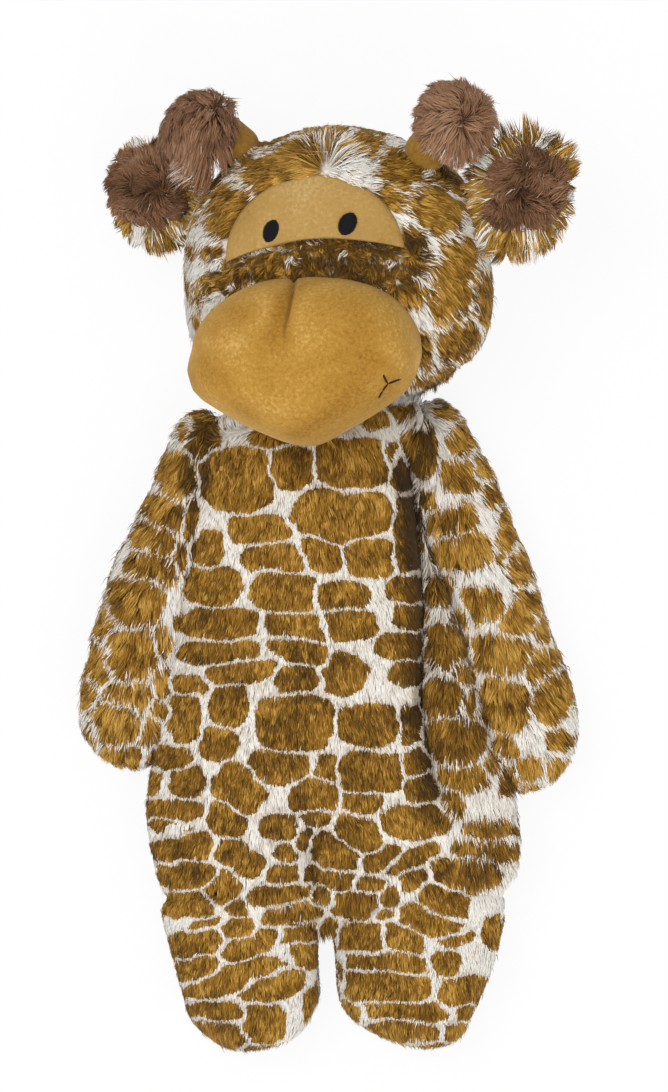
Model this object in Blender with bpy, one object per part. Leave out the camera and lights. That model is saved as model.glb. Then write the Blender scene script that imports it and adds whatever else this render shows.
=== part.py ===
# A floppy plush giraffe, lying on its back with its face up, +Y towards its horns.
# Every sewn cover is a shell of its own, with the fibre filling that shapes it as a
# separate piece inside. Outer faces follow the mean surface of the pile.

import math

import bmesh
import bpy
from mathutils import Matrix, Vector

# Fabric and clearances
plush_wall = 0.0060
velour_wall = 0.0030
seam_gap = 0.0003
swivel_gap = 0.0006
floor_flat = 0.0005
cut_overrun = 0.0200

# Body, from the neck opening to the crotch
body_top_x = -0.0070
body_top_y = 0.0730
body_bottom_x = 0.0050
body_bottom_y = -0.1720
body_half_width = 0.0860
body_half_depth = 0.0245
body_shoulder_round = 0.0260
body_seat_round = 0.0300
body_end_power = 2.3
body_width_shares = (0.66, 0.62, 0.73, 0.90, 1.02, 1.00)
body_depth_shares = (0.80, 0.88, 0.96, 1.00, 1.00, 0.97)
body_bend_shares = (0.03, -0.06, -0.065, -0.03, -0.025, 0.0)

# Neck, a short stuffed tube that rolls in a seat at each end
neck_radius = 0.0210
neck_x = -0.0040
neck_y = 0.0760
neck_z = 0.0270
neck_open_share = 0.70

# Head, a ball that is flatter from face to nape
head_half_width = 0.0710
head_half_height = 0.0620
head_half_depth = 0.0520
head_x = 0.0030
head_y = 0.1376
head_turn = math.radians(15.0)
head_roll = math.radians(4.5)
head_width_shares = (1.20, 1.06, 1.0, 1.0, 1.0)
head_jaw_power = 2.6
head_depth_shares = (0.70, 0.94, 1.0, 1.0, 1.0)

# Forehead patch and eyes, let into the head cover
patch_half_width = 0.0425
patch_height = 0.0370
patch_base = 0.0004
patch_arch = 0.0070
patch_sink = 0.0025
eye_spacing = 0.0360
eye_shift = 0.0012
eye_height = 0.0131
eye_width = 0.0084
eye_length = 0.0108
eye_lean = math.radians(20.0)
stitch_height = 0.0010

# Muzzle
muzzle_half_width = 0.0530
muzzle_half_height = 0.0385
muzzle_reach = 0.0800
muzzle_drop = 0.0462
muzzle_shift = -0.0068
muzzle_root_round = 0.0350
muzzle_tip_round = 0.0420
muzzle_end_power = 2.3
muzzle_brow_power = 0.80
muzzle_chin_power = 1.40
mouth_x = 0.0350
mouth_drop = 0.0610
mouth_thread = 0.0010
mouth_strokes = (
    (math.radians(22.0), 0.0048),
    (math.radians(97.0), 0.0040),
    (math.radians(227.0), 0.0080),
)

# Horns: where each leaves the head and the way it points, in the head's frame
horn_radius = 0.0100
horn_seat_raise = 0.0050
horn_length = 0.0300
horn_taper_shares = (1.0, 0.98, 0.94, 0.90)
horn_tip_radius = 0.0170
horn_tip_along = 0.0210
horn_root_shares = {"left": (-0.50, 0.74, 0.16), "right": (0.66, 0.58, 0.22)}
horn_way_shares = {"left": (-0.64, 0.64, 0.28), "right": (0.74, 0.60, 0.28)}

# Ears: where each leaves the head and how steeply it rises, in the head's frame
ear_length = 0.0580
ear_half_width = 0.0250
ear_half_depth = 0.0070
ear_front_start = 0.0060
ear_front_length = 0.0430
ear_front_half_width = 0.0190
ear_front_half_depth = 0.0060
ear_hinge_radius = 0.0042
ear_seat_sink = 0.0008
ear_embed = 0.0060
ear_width_shares = (0.52, 0.86, 1.0, 1.0, 0.92)
ear_depth_shares = (0.58, 0.80, 1.0, 1.0, 0.85)
ear_front_lift_share = 0.70
ear_root_shares = {"left": (-0.93, 0.30, -0.12), "right": (0.96, 0.08, 0.12)}
ear_rise = {"left": math.radians(44.0), "right": math.radians(37.0)}

# Arms: shoulder point, hand end and swell of each side
shoulder_radius = 0.0115
arm_z = 0.0175
arm_half_depth = 0.0180
arm_hand_round = 0.0210
arm_depth_shares = (0.64, 0.76, 0.90, 1.0, 1.0, 0.94)
arm_shoulder = {"left": (-0.0560, 0.0570), "right": (0.0465, 0.0625)}
arm_hand = {"left": (-0.0990, -0.0956), "right": (0.0975, -0.1057)}
arm_half_width = {"left": 0.0205, "right": 0.0220}
arm_width_shares = {
    "left": (0.56, 0.66, 0.76, 0.94, 1.02, 0.98),
    "right": (0.53, 0.75, 0.82, 0.90, 1.02, 0.98),
}
arm_bow_shares = {
    "left": (0.0, 0.08, 0.26, 0.36, 0.24, 0.0),
    "right": (0.0, 0.10, 0.20, 0.27, 0.20, 0.0),
}

# Legs: hip end, foot end and swell of each side
leg_z = 0.0220
leg_half_depth = 0.0225
leg_hip_round = 0.0140
leg_foot_round = 0.0240
leg_depth_shares = (1.0, 1.0, 1.0, 0.98, 0.95)
leg_hip = {"left": (-0.0425, -0.1460), "right": (0.0385, -0.1460)}
leg_foot = {"left": (-0.0350, -0.2286), "right": (0.0412, -0.2275)}
leg_half_width = {"left": 0.0360, "right": 0.0410}
leg_width_shares = {
    "left": (1.0, 1.0, 0.95, 0.90, 0.84),
    "right": (1.0, 1.0, 0.92, 0.83, 0.77),
}
hip_crease_y = -0.1555
hip_crease_z = 0.0445

# Facets
body_sides = 28
muzzle_sides = 24
limb_sides = 16
horn_sides = 12
body_mid_rings = 5
limb_mid_rings = 4
leg_mid_rings = 2
cap_rings = 3
body_cap_rings = 4
head_cap_rings = 6
ball_segments = 20
tuft_segments = 16
dome_steps = 14
brow_steps = 6
eye_steps = 12
neck_steps = 6
sharp_edge = math.radians(40.0)
least_straight_share = 0.001
closed_end_share = 0.000001

material_colours = {
    "giraffe_plush": ((0.26, 0.12, 0.018), 0.95),
    "tan_velour": ((0.53, 0.31, 0.07), 0.80),
    "brown_long_pile": ((0.22, 0.13, 0.085), 0.95),
    "black_thread": ((0.004, 0.004, 0.006), 0.55),
    "white_fibrefill": ((0.80, 0.80, 0.78), 1.00),
}


def clear_scene():
    for obj in list(bpy.data.objects):
        bpy.data.objects.remove(obj, do_unlink=True)


def make_materials():
    made = {}
    for name, (colour, roughness) in material_colours.items():
        material = bpy.data.materials.new(name)
        material.use_nodes = True
        shader = material.node_tree.nodes["Principled BSDF"]
        shader.inputs["Base Color"].default_value = (*colour, 1.0)
        shader.inputs["Roughness"].default_value = roughness
        shader.inputs["Metallic"].default_value = 0.0
        made[name] = material
    return made


def eased(shares, along):
    """Value at along, 0 to 1, of a smooth curve through shares spaced evenly from root to tip."""
    last = len(shares) - 1
    place = min(max(along, 0.0), 1.0) * last
    index = min(int(place), last - 1)
    part = place - index
    before = shares[max(index - 1, 0)]
    here = shares[index]
    after = shares[index + 1]
    beyond = shares[min(index + 2, last)]
    slope_in = (after - before) / 2
    slope_out = (beyond - here) / 2
    square = part * part
    cube = square * part
    return (
        here * (2 * cube - 3 * square + 1)
        + slope_in * (cube - 2 * square + part)
        + after * (3 * square - 2 * cube)
        + slope_out * (cube - square)
    )


def stuffed_form(start, end, side, half_width, half_depth, root_round, tip_round, **more):
    """The sizes of one swelling, tapering form that runs from start to end."""
    form = {
        "start": Vector(start),
        "end": Vector(end),
        "side": Vector(side).normalized(),
        "half_width": half_width,
        "half_depth": half_depth,
        "root_round": root_round,
        "tip_round": tip_round,
        "width_shares": (1.0, 1.0),
        "depth_shares": (1.0, 1.0),
        "bend_shares": (0.0, 0.0),
        "end_power": 2.0,
        "root_power": None,
        "upper_power": 1.0,
        "lower_power": 1.0,
        "sides": limb_sides,
        "mid_rings": limb_mid_rings,
        "cap_rings": cap_rings,
    }
    form.update(more)
    return form


def form_stations(form, length):
    """Distances from the root of each ring, closer together where an end rounds off."""
    root = form["root_round"]
    tip = form["tip_round"]
    rings = form["cap_rings"]
    steps = [math.pi / 2 * index / rings for index in range(rings + 1)]
    stations = [root * (1 - math.cos(step)) for step in steps]
    straight = length - root - tip
    count = form["mid_rings"] if straight > root * least_straight_share else 0
    stations += [root + straight * (index + 1) / (count + 1) for index in range(count)]
    closing = [length - tip * (1 - math.cos(step)) for step in reversed(steps)]
    return stations + (closing if count else closing[1:])


def form_ring(form, distance, length, inset):
    """The points of one cross-section, or the single point of an end."""
    along = distance / length
    root_part = max(0.0, 1 - distance / form["root_round"])
    tip_part = max(0.0, 1 - (length - distance) / form["tip_round"])
    power = form["root_power"] if form["root_power"] and root_part > 0 else form["end_power"]
    close = max(0.0, 1 - max(root_part, tip_part) ** power) ** (1 / power)
    axis = (form["end"] - form["start"]).normalized()
    depth_way = form["side"].cross(axis)
    if depth_way.z < 0 or form.get("flip_depth"):
        depth_way = -depth_way
    moved = inset + distance * (length - 2 * inset) / length
    bend = form["half_width"] * eased(form["bend_shares"], along)
    centre = form["start"] + axis * moved + form["side"] * bend
    if close < closed_end_share:
        return [centre]
    width = (form["half_width"] * eased(form["width_shares"], along) - inset) * close
    depth = (form["half_depth"] * eased(form["depth_shares"], along) - inset) * close
    points = []
    for index in range(form["sides"]):
        angle = 2 * math.pi * index / form["sides"]
        high = math.sin(angle)
        power = form["upper_power"] if high > 0 else form["lower_power"]
        rise = math.copysign(abs(high) ** power, high)
        points.append(centre + form["side"] * width * math.cos(angle) + depth_way * depth * rise)
    return points


def add_rings(mesh, rings):
    """Skins rings of points with faces and returns the first ring's vertices."""
    placed = [[mesh.verts.new(point) for point in ring] for ring in rings]
    for lower, upper in zip(placed, placed[1:]):
        count = max(len(lower), len(upper))
        for index in range(count):
            after = (index + 1) % count
            if len(lower) == 1:
                mesh.faces.new((lower[0], upper[after], upper[index]))
            elif len(upper) == 1:
                mesh.faces.new((lower[index], lower[after], upper[0]))
            else:
                mesh.faces.new((lower[index], lower[after], upper[after], upper[index]))
    return placed[0]


def form_rings(form, inset, first):
    length = (form["end"] - form["start"]).length
    stations = form_stations(form, length)
    return [form_ring(form, distance, length, inset) for distance in stations[first:]]


def solid_form(form, inset):
    """A closed form, drawn in by inset."""
    mesh = bmesh.new()
    add_rings(mesh, form_rings(form, inset, 0))
    bmesh.ops.recalc_face_normals(mesh, faces=mesh.faces)
    return mesh


def shell_form(form, wall):
    """A cover of the given wall, left open at its root."""
    mesh = bmesh.new()
    outer = add_rings(mesh, form_rings(form, 0.0, 1))
    inner = add_rings(mesh, form_rings(form, wall, 1))
    count = len(outer)
    for index in range(count):
        after = (index + 1) % count
        mesh.faces.new((outer[after], outer[index], inner[index], inner[after]))
    bmesh.ops.recalc_face_normals(mesh, faces=mesh.faces)
    return mesh


def closed_shell_form(form, wall):
    """A cover with no opening of its own; what is cut into it opens it."""
    mesh = bmesh.new()
    add_rings(mesh, form_rings(form, 0.0, 0))
    bmesh.ops.recalc_face_normals(mesh, faces=mesh.faces)
    outer_faces = set(mesh.faces)
    add_rings(mesh, form_rings(form, wall, 0))
    inner_faces = [face for face in mesh.faces if face not in outer_faces]
    bmesh.ops.recalc_face_normals(mesh, faces=inner_faces)
    bmesh.ops.reverse_faces(mesh, faces=inner_faces)
    return mesh


def ball_mesh(centre, radius, segments=ball_segments):
    mesh = bmesh.new()
    bmesh.ops.create_uvsphere(mesh, u_segments=segments, v_segments=segments // 2, radius=radius)
    bmesh.ops.translate(mesh, verts=mesh.verts, vec=Vector(centre))
    return mesh


def prism_mesh(outline, low, high):
    """An outline in the XY plane, raised from low to high."""
    mesh = bmesh.new()
    face = mesh.faces.new([mesh.verts.new((x, y, low)) for x, y in outline])
    raised = bmesh.ops.extrude_face_region(mesh, geom=[face])
    moved = [item for item in raised["geom"] if isinstance(item, bmesh.types.BMVert)]
    bmesh.ops.translate(mesh, verts=moved, vec=(0, 0, high - low))
    bmesh.ops.recalc_face_normals(mesh, faces=mesh.faces)
    return mesh


def new_object(name, mesh, matrix=None):
    if matrix is not None:
        bmesh.ops.transform(mesh, matrix=matrix, verts=mesh.verts)
    data = bpy.data.meshes.new(name)
    mesh.to_mesh(data)
    mesh.free()
    obj = bpy.data.objects.new(name, data)
    bpy.context.scene.collection.objects.link(obj)
    return obj


def make_piece(name, mesh, joint, material, matrix=None):
    """A named piece, its origin on the joint that carries it."""
    obj = new_object(name, mesh, matrix)
    obj.data.transform(Matrix.Translation(-joint["at"]))
    obj.parent = joint["empty"]
    obj.data.materials.append(material)
    obj.data.shade_smooth()
    obj.data.set_sharp_from_angle(angle=sharp_edge)
    return obj


def make_cutter(name, mesh, toy, matrix=None):
    obj = new_object(name, mesh, matrix)
    obj.parent = toy
    obj.hide_render = True
    obj.display_type = "WIRE"
    return obj


def combine(obj, other, operation="DIFFERENCE"):
    modifier = obj.modifiers.new(operation.title() + " " + other.name, "BOOLEAN")
    modifier.operation = operation
    modifier.object = other


def make_joint(name, parent, at, axis):
    """An empty on the joint's axis, which poses all that hangs on it."""
    empty = bpy.data.objects.new(name, None)
    empty.empty_display_size = neck_radius
    bpy.context.scene.collection.objects.link(empty)
    empty.parent = parent["empty"] if parent else None
    empty.location = Vector(at) - (parent["at"] if parent else Vector())
    return {"name": name, "empty": empty, "at": Vector(at), "axis": Vector(axis).normalized()}


def head_matrix():
    """From the head's own frame, x to its left ear side, y to its crown, z to its face."""
    across = math.hypot(head_half_width * math.sin(head_turn), head_half_depth * math.cos(head_turn))
    centre = Vector((head_x, head_y, across - floor_flat))
    turn = Matrix.Rotation(-head_turn, 4, "Y")
    return Matrix.Translation(centre) @ Matrix.Rotation(head_roll, 4, "Z") @ turn


def on_head(direction):
    """The point of the head's surface in this direction, in the head's frame."""
    radii = (head_half_width, head_half_height, head_half_depth)
    reach = math.sqrt(sum((part / radius) ** 2 for part, radius in zip(direction, radii)))
    return Vector(direction) / reach


def body_form():
    return stuffed_form(
        (body_top_x, body_top_y, body_half_depth - floor_flat),
        (body_bottom_x, body_bottom_y, body_half_depth - floor_flat),
        (body_top_y - body_bottom_y, body_bottom_x - body_top_x, 0),
        body_half_width,
        body_half_depth,
        body_shoulder_round,
        body_seat_round,
        width_shares=body_width_shares,
        depth_shares=body_depth_shares,
        bend_shares=body_bend_shares,
        end_power=body_end_power,
        sides=body_sides,
        mid_rings=body_mid_rings,
        cap_rings=body_cap_rings,
    )


def head_form():
    return stuffed_form(
        (0, -head_half_height, 0),
        (0, head_half_height, 0),
        (1, 0, 0),
        head_half_width,
        head_half_depth,
        head_half_height,
        head_half_height,
        width_shares=head_width_shares,
        depth_shares=head_depth_shares,
        root_power=head_jaw_power,
        sides=body_sides,
        mid_rings=0,
        cap_rings=head_cap_rings,
    )


def muzzle_form():
    return stuffed_form(
        (muzzle_shift, -muzzle_drop, 0),
        (muzzle_shift, -muzzle_drop, muzzle_reach),
        (1, 0, 0),
        muzzle_half_width,
        muzzle_half_height,
        muzzle_root_round,
        muzzle_tip_round,
        upper_power=muzzle_brow_power,
        lower_power=muzzle_chin_power,
        end_power=muzzle_end_power,
        sides=muzzle_sides,
        mid_rings=1,
        cap_rings=body_cap_rings,
        flip_depth=True,
    )


def arm_form(side):
    shoulder = Vector((*arm_shoulder[side], arm_z))
    hand = Vector((*arm_hand[side], arm_z))
    axis = (hand - shoulder).normalized()
    outward = Vector((-axis.y, axis.x, 0))
    if outward.x * shoulder.x < 0:
        outward = -outward
    return stuffed_form(
        shoulder - axis * shoulder_radius,
        hand,
        outward,
        arm_half_width[side],
        arm_half_depth,
        shoulder_radius,
        arm_hand_round,
        width_shares=arm_width_shares[side],
        depth_shares=arm_depth_shares,
        bend_shares=arm_bow_shares[side],
    )


def leg_form(side):
    hip = Vector((*leg_hip[side], leg_z))
    foot = Vector((*leg_foot[side], leg_z))
    axis = (foot - hip).normalized()
    return stuffed_form(
        hip,
        foot,
        (-axis.y, axis.x, 0),
        leg_half_width[side],
        leg_half_depth,
        leg_hip_round,
        leg_foot_round,
        width_shares=leg_width_shares[side],
        depth_shares=leg_depth_shares,
        mid_rings=leg_mid_rings,
    )


def horn_places(side):
    """Pivot and direction of a horn, in the head's frame."""
    way = Vector(horn_way_shares[side]).normalized()
    pivot = on_head(horn_root_shares[side]) + way * horn_seat_raise
    return pivot, way


def horn_form(pivot, way):
    return stuffed_form(
        pivot - way * horn_radius,
        pivot + way * horn_length,
        way.cross(Vector((0, 0, 1))),
        horn_radius,
        horn_radius,
        horn_radius,
        horn_radius,
        width_shares=horn_taper_shares,
        depth_shares=horn_taper_shares,
        sides=horn_sides,
        mid_rings=1,
    )


def ear_places(side):
    """Hinge point, hinge direction, way out of the head and reach of an ear, in the head's frame."""
    root = on_head(ear_root_shares[side])
    outward = Vector((root.x / head_half_width**2, root.y / head_half_height**2, 0)).normalized()
    hinge = root + outward * (ear_hinge_radius + seam_gap - ear_seat_sink)
    along = Vector((outward.y, -outward.x, 0))
    rise = ear_rise[side]
    reach = Vector((math.copysign(math.cos(rise), root.x), math.sin(rise), 0))
    return hinge, along, outward, reach


def ear_form(hinge, reach, start, length, half_width, half_depth, lift):
    raised = Vector((0, 0, lift))
    return stuffed_form(
        hinge + reach * start + raised,
        hinge + reach * (start + length) + raised,
        (reach.y, -reach.x, 0),
        half_width,
        half_depth,
        length / 2,
        length / 2,
        width_shares=ear_width_shares,
        depth_shares=ear_depth_shares,
        mid_rings=0,
        cap_rings=body_cap_rings,
    )


def patch_outline(grow):
    """The dome of the forehead patch: an arch over a shallow brow line."""
    half = patch_half_width + grow
    low = patch_base - grow
    high = patch_height + 2 * grow
    angles = [math.pi * index / dome_steps for index in range(dome_steps + 1)]
    dome = [(half * math.cos(angle), low + high * math.sin(angle)) for angle in angles]
    brow = []
    for index in range(1, brow_steps):
        x = half * (2 * index / brow_steps - 1)
        brow.append((x, low + patch_arch * (1 - (x / half) ** 2)))
    return dome + brow


def eye_outline(centre_x):
    points = []
    for index in range(eye_steps):
        angle = 2 * math.pi * index / eye_steps
        x = eye_width / 2 * math.cos(angle)
        y = eye_length / 2 * math.sin(angle)
        points.append(
            (
                centre_x + x * math.cos(eye_lean) + y * math.sin(eye_lean),
                eye_height - x * math.sin(eye_lean) + y * math.cos(eye_lean),
            )
        )
    return points


def stroke_outline(centre, strokes, half_width):
    """One outline round strokes that leave a common centre, each an (angle, length)."""
    points = []
    ordered = sorted(strokes)
    for index, (angle, length) in enumerate(ordered):
        way = Vector((math.cos(angle), math.sin(angle)))
        across = Vector((-way.y, way.x))
        tip = Vector(centre) + way * length
        points.append(tip - across * half_width)
        points.append(tip + across * half_width)
        following = ordered[(index + 1) % len(ordered)][0]
        between = (following - angle) % (2 * math.pi)
        middle = angle + between / 2
        reach = half_width / math.sin(between / 2)
        points.append(Vector(centre) + Vector((math.cos(middle), math.sin(middle))) * reach)
    return [tuple(point) for point in points]


def surface_layer(name, form, outer_inset, inner_inset, outline, low, high, joint, material, matrix, toy):
    """A piece that follows a form's surface between two depths, inside an outline."""
    piece = make_piece(name, solid_form(form, outer_inset), joint, material, matrix)
    core = make_cutter(name + "_core", solid_form(form, inner_inset), toy, matrix)
    edge = make_cutter(name + "_edge", prism_mesh(outline, low, high), toy, matrix)
    combine(piece, edge, "INTERSECT")
    combine(piece, core)
    return piece


def floor_mesh():
    """Slab below the surface that the toy lies on."""
    reach = body_top_y - body_bottom_y + cut_overrun
    mesh = bmesh.new()
    bmesh.ops.create_cube(mesh, size=1.0)
    bmesh.ops.scale(mesh, verts=mesh.verts, vec=(2 * reach, 2 * reach, cut_overrun))
    bmesh.ops.translate(mesh, verts=mesh.verts, vec=(0, 0, -cut_overrun / 2))
    return mesh


def make_body(fabrics, joints, cutters, toy):
    form = body_form()
    cover = make_piece("body_cover", shell_form(form, plush_wall), joints["body"], fabrics["giraffe_plush"])
    filling = make_piece(
        "body_stuffing",
        solid_form(form, plush_wall + seam_gap),
        joints["body"],
        fabrics["white_fibrefill"],
    )
    for piece in (cover, filling):
        combine(piece, cutters["neck_seat"])
        combine(piece, cutters["left_shoulder_seat"])
        combine(piece, cutters["right_shoulder_seat"])
    combine(cover, cutters["floor"])


def ball_zone(centre, radius, first, last):
    """Rings of a ball about the Y axis, from one latitude to another."""
    rings = []
    for index in range(neck_steps + 1):
        rise = first + (last - first) * index / neck_steps
        ring = []
        for side in range(ball_segments):
            turn = 2 * math.pi * side / ball_segments
            across = radius * math.cos(rise)
            offset = (across * math.cos(turn), radius * math.sin(rise), across * math.sin(turn))
            ring.append(centre + Vector(offset))
        rings.append(ring)
    return rings


def make_neck(fabrics, joints):
    """The neck cover is a barrel, open towards the body and the head."""
    centre = Vector((neck_x, neck_y, neck_z))
    edge = math.asin(neck_open_share)
    inner_radius = neck_radius - plush_wall
    outer = ball_zone(centre, neck_radius, -edge, edge)
    inner = ball_zone(centre, inner_radius, edge, -edge)
    mesh = bmesh.new()
    add_rings(mesh, outer + inner)
    mesh.verts.ensure_lookup_table()
    ends = (mesh.verts[:ball_segments], mesh.verts[-ball_segments:])
    for index in range(ball_segments):
        after = (index + 1) % ball_segments
        mesh.faces.new((ends[1][index], ends[1][after], ends[0][after], ends[0][index]))
    bmesh.ops.recalc_face_normals(mesh, faces=mesh.faces)
    make_piece("neck_cover", mesh, joints["neck"], fabrics["giraffe_plush"])
    filling = ball_mesh(centre, inner_radius - seam_gap)
    make_piece("neck_stuffing", filling, joints["neck"], fabrics["white_fibrefill"])


def make_head(fabrics, joints, cutters, toy, place):
    form = head_form()
    cover = make_piece(
        "head_cover", closed_shell_form(form, plush_wall), joints["head"], fabrics["giraffe_plush"], place
    )
    filling = make_piece(
        "head_stuffing",
        solid_form(form, plush_wall + seam_gap),
        joints["head"],
        fabrics["white_fibrefill"],
        place,
    )
    window = make_cutter(
        "patch_window",
        prism_mesh(patch_outline(seam_gap), 0.0, 2 * head_half_depth),
        toy,
        place,
    )
    for piece in (cover, filling):
        combine(piece, cutters["neck_seat"])
        combine(piece, cutters["left_horn_seat"])
        combine(piece, cutters["right_horn_seat"])
    combine(cover, window)
    combine(cover, cutters["floor"])
    surface_layer(
        "forehead_patch",
        form,
        patch_sink,
        plush_wall,
        patch_outline(0.0),
        0.0,
        2 * head_half_depth,
        joints["head"],
        fabrics["tan_velour"],
        place,
        toy,
    )
    for name, sign in (("left_eye", -1), ("right_eye", 1)):
        surface_layer(
            name,
            form,
            patch_sink - seam_gap - stitch_height,
            patch_sink - seam_gap,
            eye_outline(eye_shift + sign * eye_spacing / 2),
            0.0,
            2 * head_half_depth,
            joints["head"],
            fabrics["black_thread"],
            place,
            toy,
        )


def make_muzzle(fabrics, joints, toy, place):
    form = muzzle_form()
    head_core = make_cutter("muzzle_back", solid_form(head_form(), -seam_gap), toy, place)
    cover = make_piece(
        "muzzle_cover", shell_form(form, velour_wall), joints["head"], fabrics["tan_velour"], place
    )
    filling = make_piece(
        "muzzle_stuffing",
        solid_form(form, velour_wall + seam_gap),
        joints["head"],
        fabrics["white_fibrefill"],
        place,
    )
    combine(cover, head_core)
    combine(filling, head_core)
    surface_layer(
        "mouth_stitch",
        form,
        -seam_gap - stitch_height,
        -seam_gap,
        stroke_outline((mouth_x, -mouth_drop), mouth_strokes, mouth_thread / 2),
        muzzle_reach / 2,
        muzzle_reach + cut_overrun,
        joints["head"],
        fabrics["black_thread"],
        place,
        toy,
    )


def make_horn(side, fabrics, joints, toy, place):
    pivot, way = horn_places(side)
    form = horn_form(pivot, way)
    joint = joints[side + "_horn"]
    make_piece(side + "_horn_cover", shell_form(form, velour_wall), joint, fabrics["tan_velour"], place)
    make_piece(
        side + "_horn_stuffing",
        solid_form(form, velour_wall + seam_gap),
        joint,
        fabrics["white_fibrefill"],
        place,
    )
    tip = make_piece(
        side + "_horn_tip",
        ball_mesh(pivot + way * horn_tip_along, horn_tip_radius, tuft_segments),
        joint,
        fabrics["brown_long_pile"],
        place,
    )
    bore = make_cutter(side + "_horn_tip_bore", solid_form(form, -seam_gap), toy, place)
    combine(tip, bore)


def make_ear(side, fabrics, joints, toy, place):
    hinge, along, outward, reach = ear_places(side)
    joint = joints[side + "_ear"]
    back_form = ear_form(hinge, reach, -ear_embed, ear_length, ear_half_width, ear_half_depth, 0.0)
    lift = ear_half_depth * ear_front_lift_share
    front_form = ear_form(
        hinge, reach, ear_front_start, ear_front_length, ear_front_half_width, ear_front_half_depth, lift
    )
    back = make_piece(side + "_ear_back", solid_form(back_form, 0.0), joint, fabrics["giraffe_plush"], place)
    front = make_piece(
        side + "_ear_front", solid_form(front_form, 0.0), joint, fabrics["brown_long_pile"], place
    )
    # The base is trimmed to a round edge about the hinge line.
    frame = Matrix.Translation(hinge) @ Matrix((
        (along.x, outward.x, 0, 0),
        (along.y, outward.y, 0, 0),
        (0, 0, 1, 0),
        (0, 0, 0, 1),
    ))
    trim_mesh = bmesh.new()
    bmesh.ops.create_cube(trim_mesh, size=1.0)
    block = 2 * ear_half_width
    bmesh.ops.scale(trim_mesh, verts=trim_mesh.verts, vec=(block, block / 2, block))
    bmesh.ops.translate(trim_mesh, verts=trim_mesh.verts, vec=(0, -block / 4, 0))
    trim = make_cutter(side + "_ear_trim", trim_mesh, toy, place @ frame)
    roll_mesh = bmesh.new()
    bmesh.ops.create_cone(
        roll_mesh,
        cap_ends=True,
        segments=horn_sides,
        radius1=ear_hinge_radius,
        radius2=ear_hinge_radius,
        depth=2 * block,
        matrix=Matrix.Rotation(math.pi / 2, 4, "Y"),
    )
    roll = make_cutter(side + "_ear_roll", roll_mesh, toy, place @ frame)
    combine(trim, roll)
    combine(back, trim)
    seat = make_cutter(side + "_ear_seat", solid_form(back_form, -seam_gap), toy, place)
    combine(front, seat)


def make_limbs(fabrics, joints, cutters, toy):
    for side in ("left", "right"):
        for kind, form in (("arm", arm_form(side)), ("leg", leg_form(side))):
            joint = joints[side + ("_shoulder" if kind == "arm" else "_hip")]
            cover = make_piece(
                f"{side}_{kind}_cover", shell_form(form, plush_wall), joint, fabrics["giraffe_plush"]
            )
            filling = make_piece(
                f"{side}_{kind}_stuffing",
                solid_form(form, plush_wall + seam_gap),
                joint,
                fabrics["white_fibrefill"],
            )
            trunk = cutters["trunk_at_arms" if kind == "arm" else "trunk"]
            combine(cover, trunk)
            combine(filling, trunk)
            combine(cover, cutters["floor"])


def make_joints(place):
    joints = {"body": make_joint("giraffe", None, (0, 0, 0), (0, 0, 1))}
    neck = (neck_x, neck_y, neck_z)
    joints["neck"] = make_joint("neck_tilt", joints["body"], neck, (0, 0, 1))
    joints["head"] = make_joint("neck_nod", joints["neck"], neck, (1, 0, 0))
    for side, sign in (("left", -1), ("right", 1)):
        shoulder = (*arm_shoulder[side], arm_z)
        joints[side + "_shoulder"] = make_joint(
            side + "_shoulder", joints["body"], shoulder, (0, 0, sign)
        )
        hip = (leg_hip[side][0], hip_crease_y, hip_crease_z)
        joints[side + "_hip"] = make_joint(side + "_hip", joints["body"], hip, (-1, 0, 0))
        pivot, way = horn_places(side)
        across = way.cross(Vector((0, 0, 1))).normalized()
        turned = place.to_3x3()
        joints[side + "_horn"] = make_joint(
            side + "_horn_bend", joints["head"], place @ pivot, turned @ across
        )
        hinge, along, outward, reach = ear_places(side)
        joints[side + "_ear"] = make_joint(
            side + "_ear_flop", joints["head"], place @ hinge, turned @ along
        )
    return joints


def make_cutters(place, toy):
    trunk = body_form()
    cutters = {
        "floor": make_cutter("floor_slab", floor_mesh(), toy),
        "neck_seat": make_cutter(
            "neck_seat_ball", ball_mesh((neck_x, neck_y, neck_z), neck_radius + swivel_gap), toy
        ),
        "trunk": make_cutter("trunk_space", solid_form(trunk, -seam_gap), toy),
        "trunk_at_arms": make_cutter("trunk_space_at_arms", solid_form(trunk, -seam_gap), toy),
    }
    for side in ("left", "right"):
        shoulder = (*arm_shoulder[side], arm_z)
        cutters[side + "_shoulder_seat"] = make_cutter(
            side + "_shoulder_seat_ball", ball_mesh(shoulder, shoulder_radius + swivel_gap), toy
        )
        kept = make_cutter(
            side + "_shoulder_ball", ball_mesh(shoulder, shoulder_radius + swivel_gap / 2), toy
        )
        combine(cutters["trunk_at_arms"], kept)
        pivot, way = horn_places(side)
        cutters[side + "_horn_seat"] = make_cutter(
            side + "_horn_seat_ball", ball_mesh(pivot, horn_radius + swivel_gap), toy, place
        )
    return cutters


def centre_on_outline(toy):
    """Moves the whole toy so that its origin lies under the middle of its outline."""
    bpy.context.view_layer.update()
    graph = bpy.context.evaluated_depsgraph_get()
    points = []
    for obj in bpy.data.objects:
        if obj.type == "MESH" and not obj.hide_render:
            placed = obj.evaluated_get(graph)
            points += [placed.matrix_world @ Vector(corner) for corner in placed.bound_box]
    middle_x = (min(p.x for p in points) + max(p.x for p in points)) / 2
    middle_y = (min(p.y for p in points) + max(p.y for p in points)) / 2
    toy.location = (-middle_x, -middle_y, 0)
    return Vector((-middle_x, -middle_y, 0))


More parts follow.
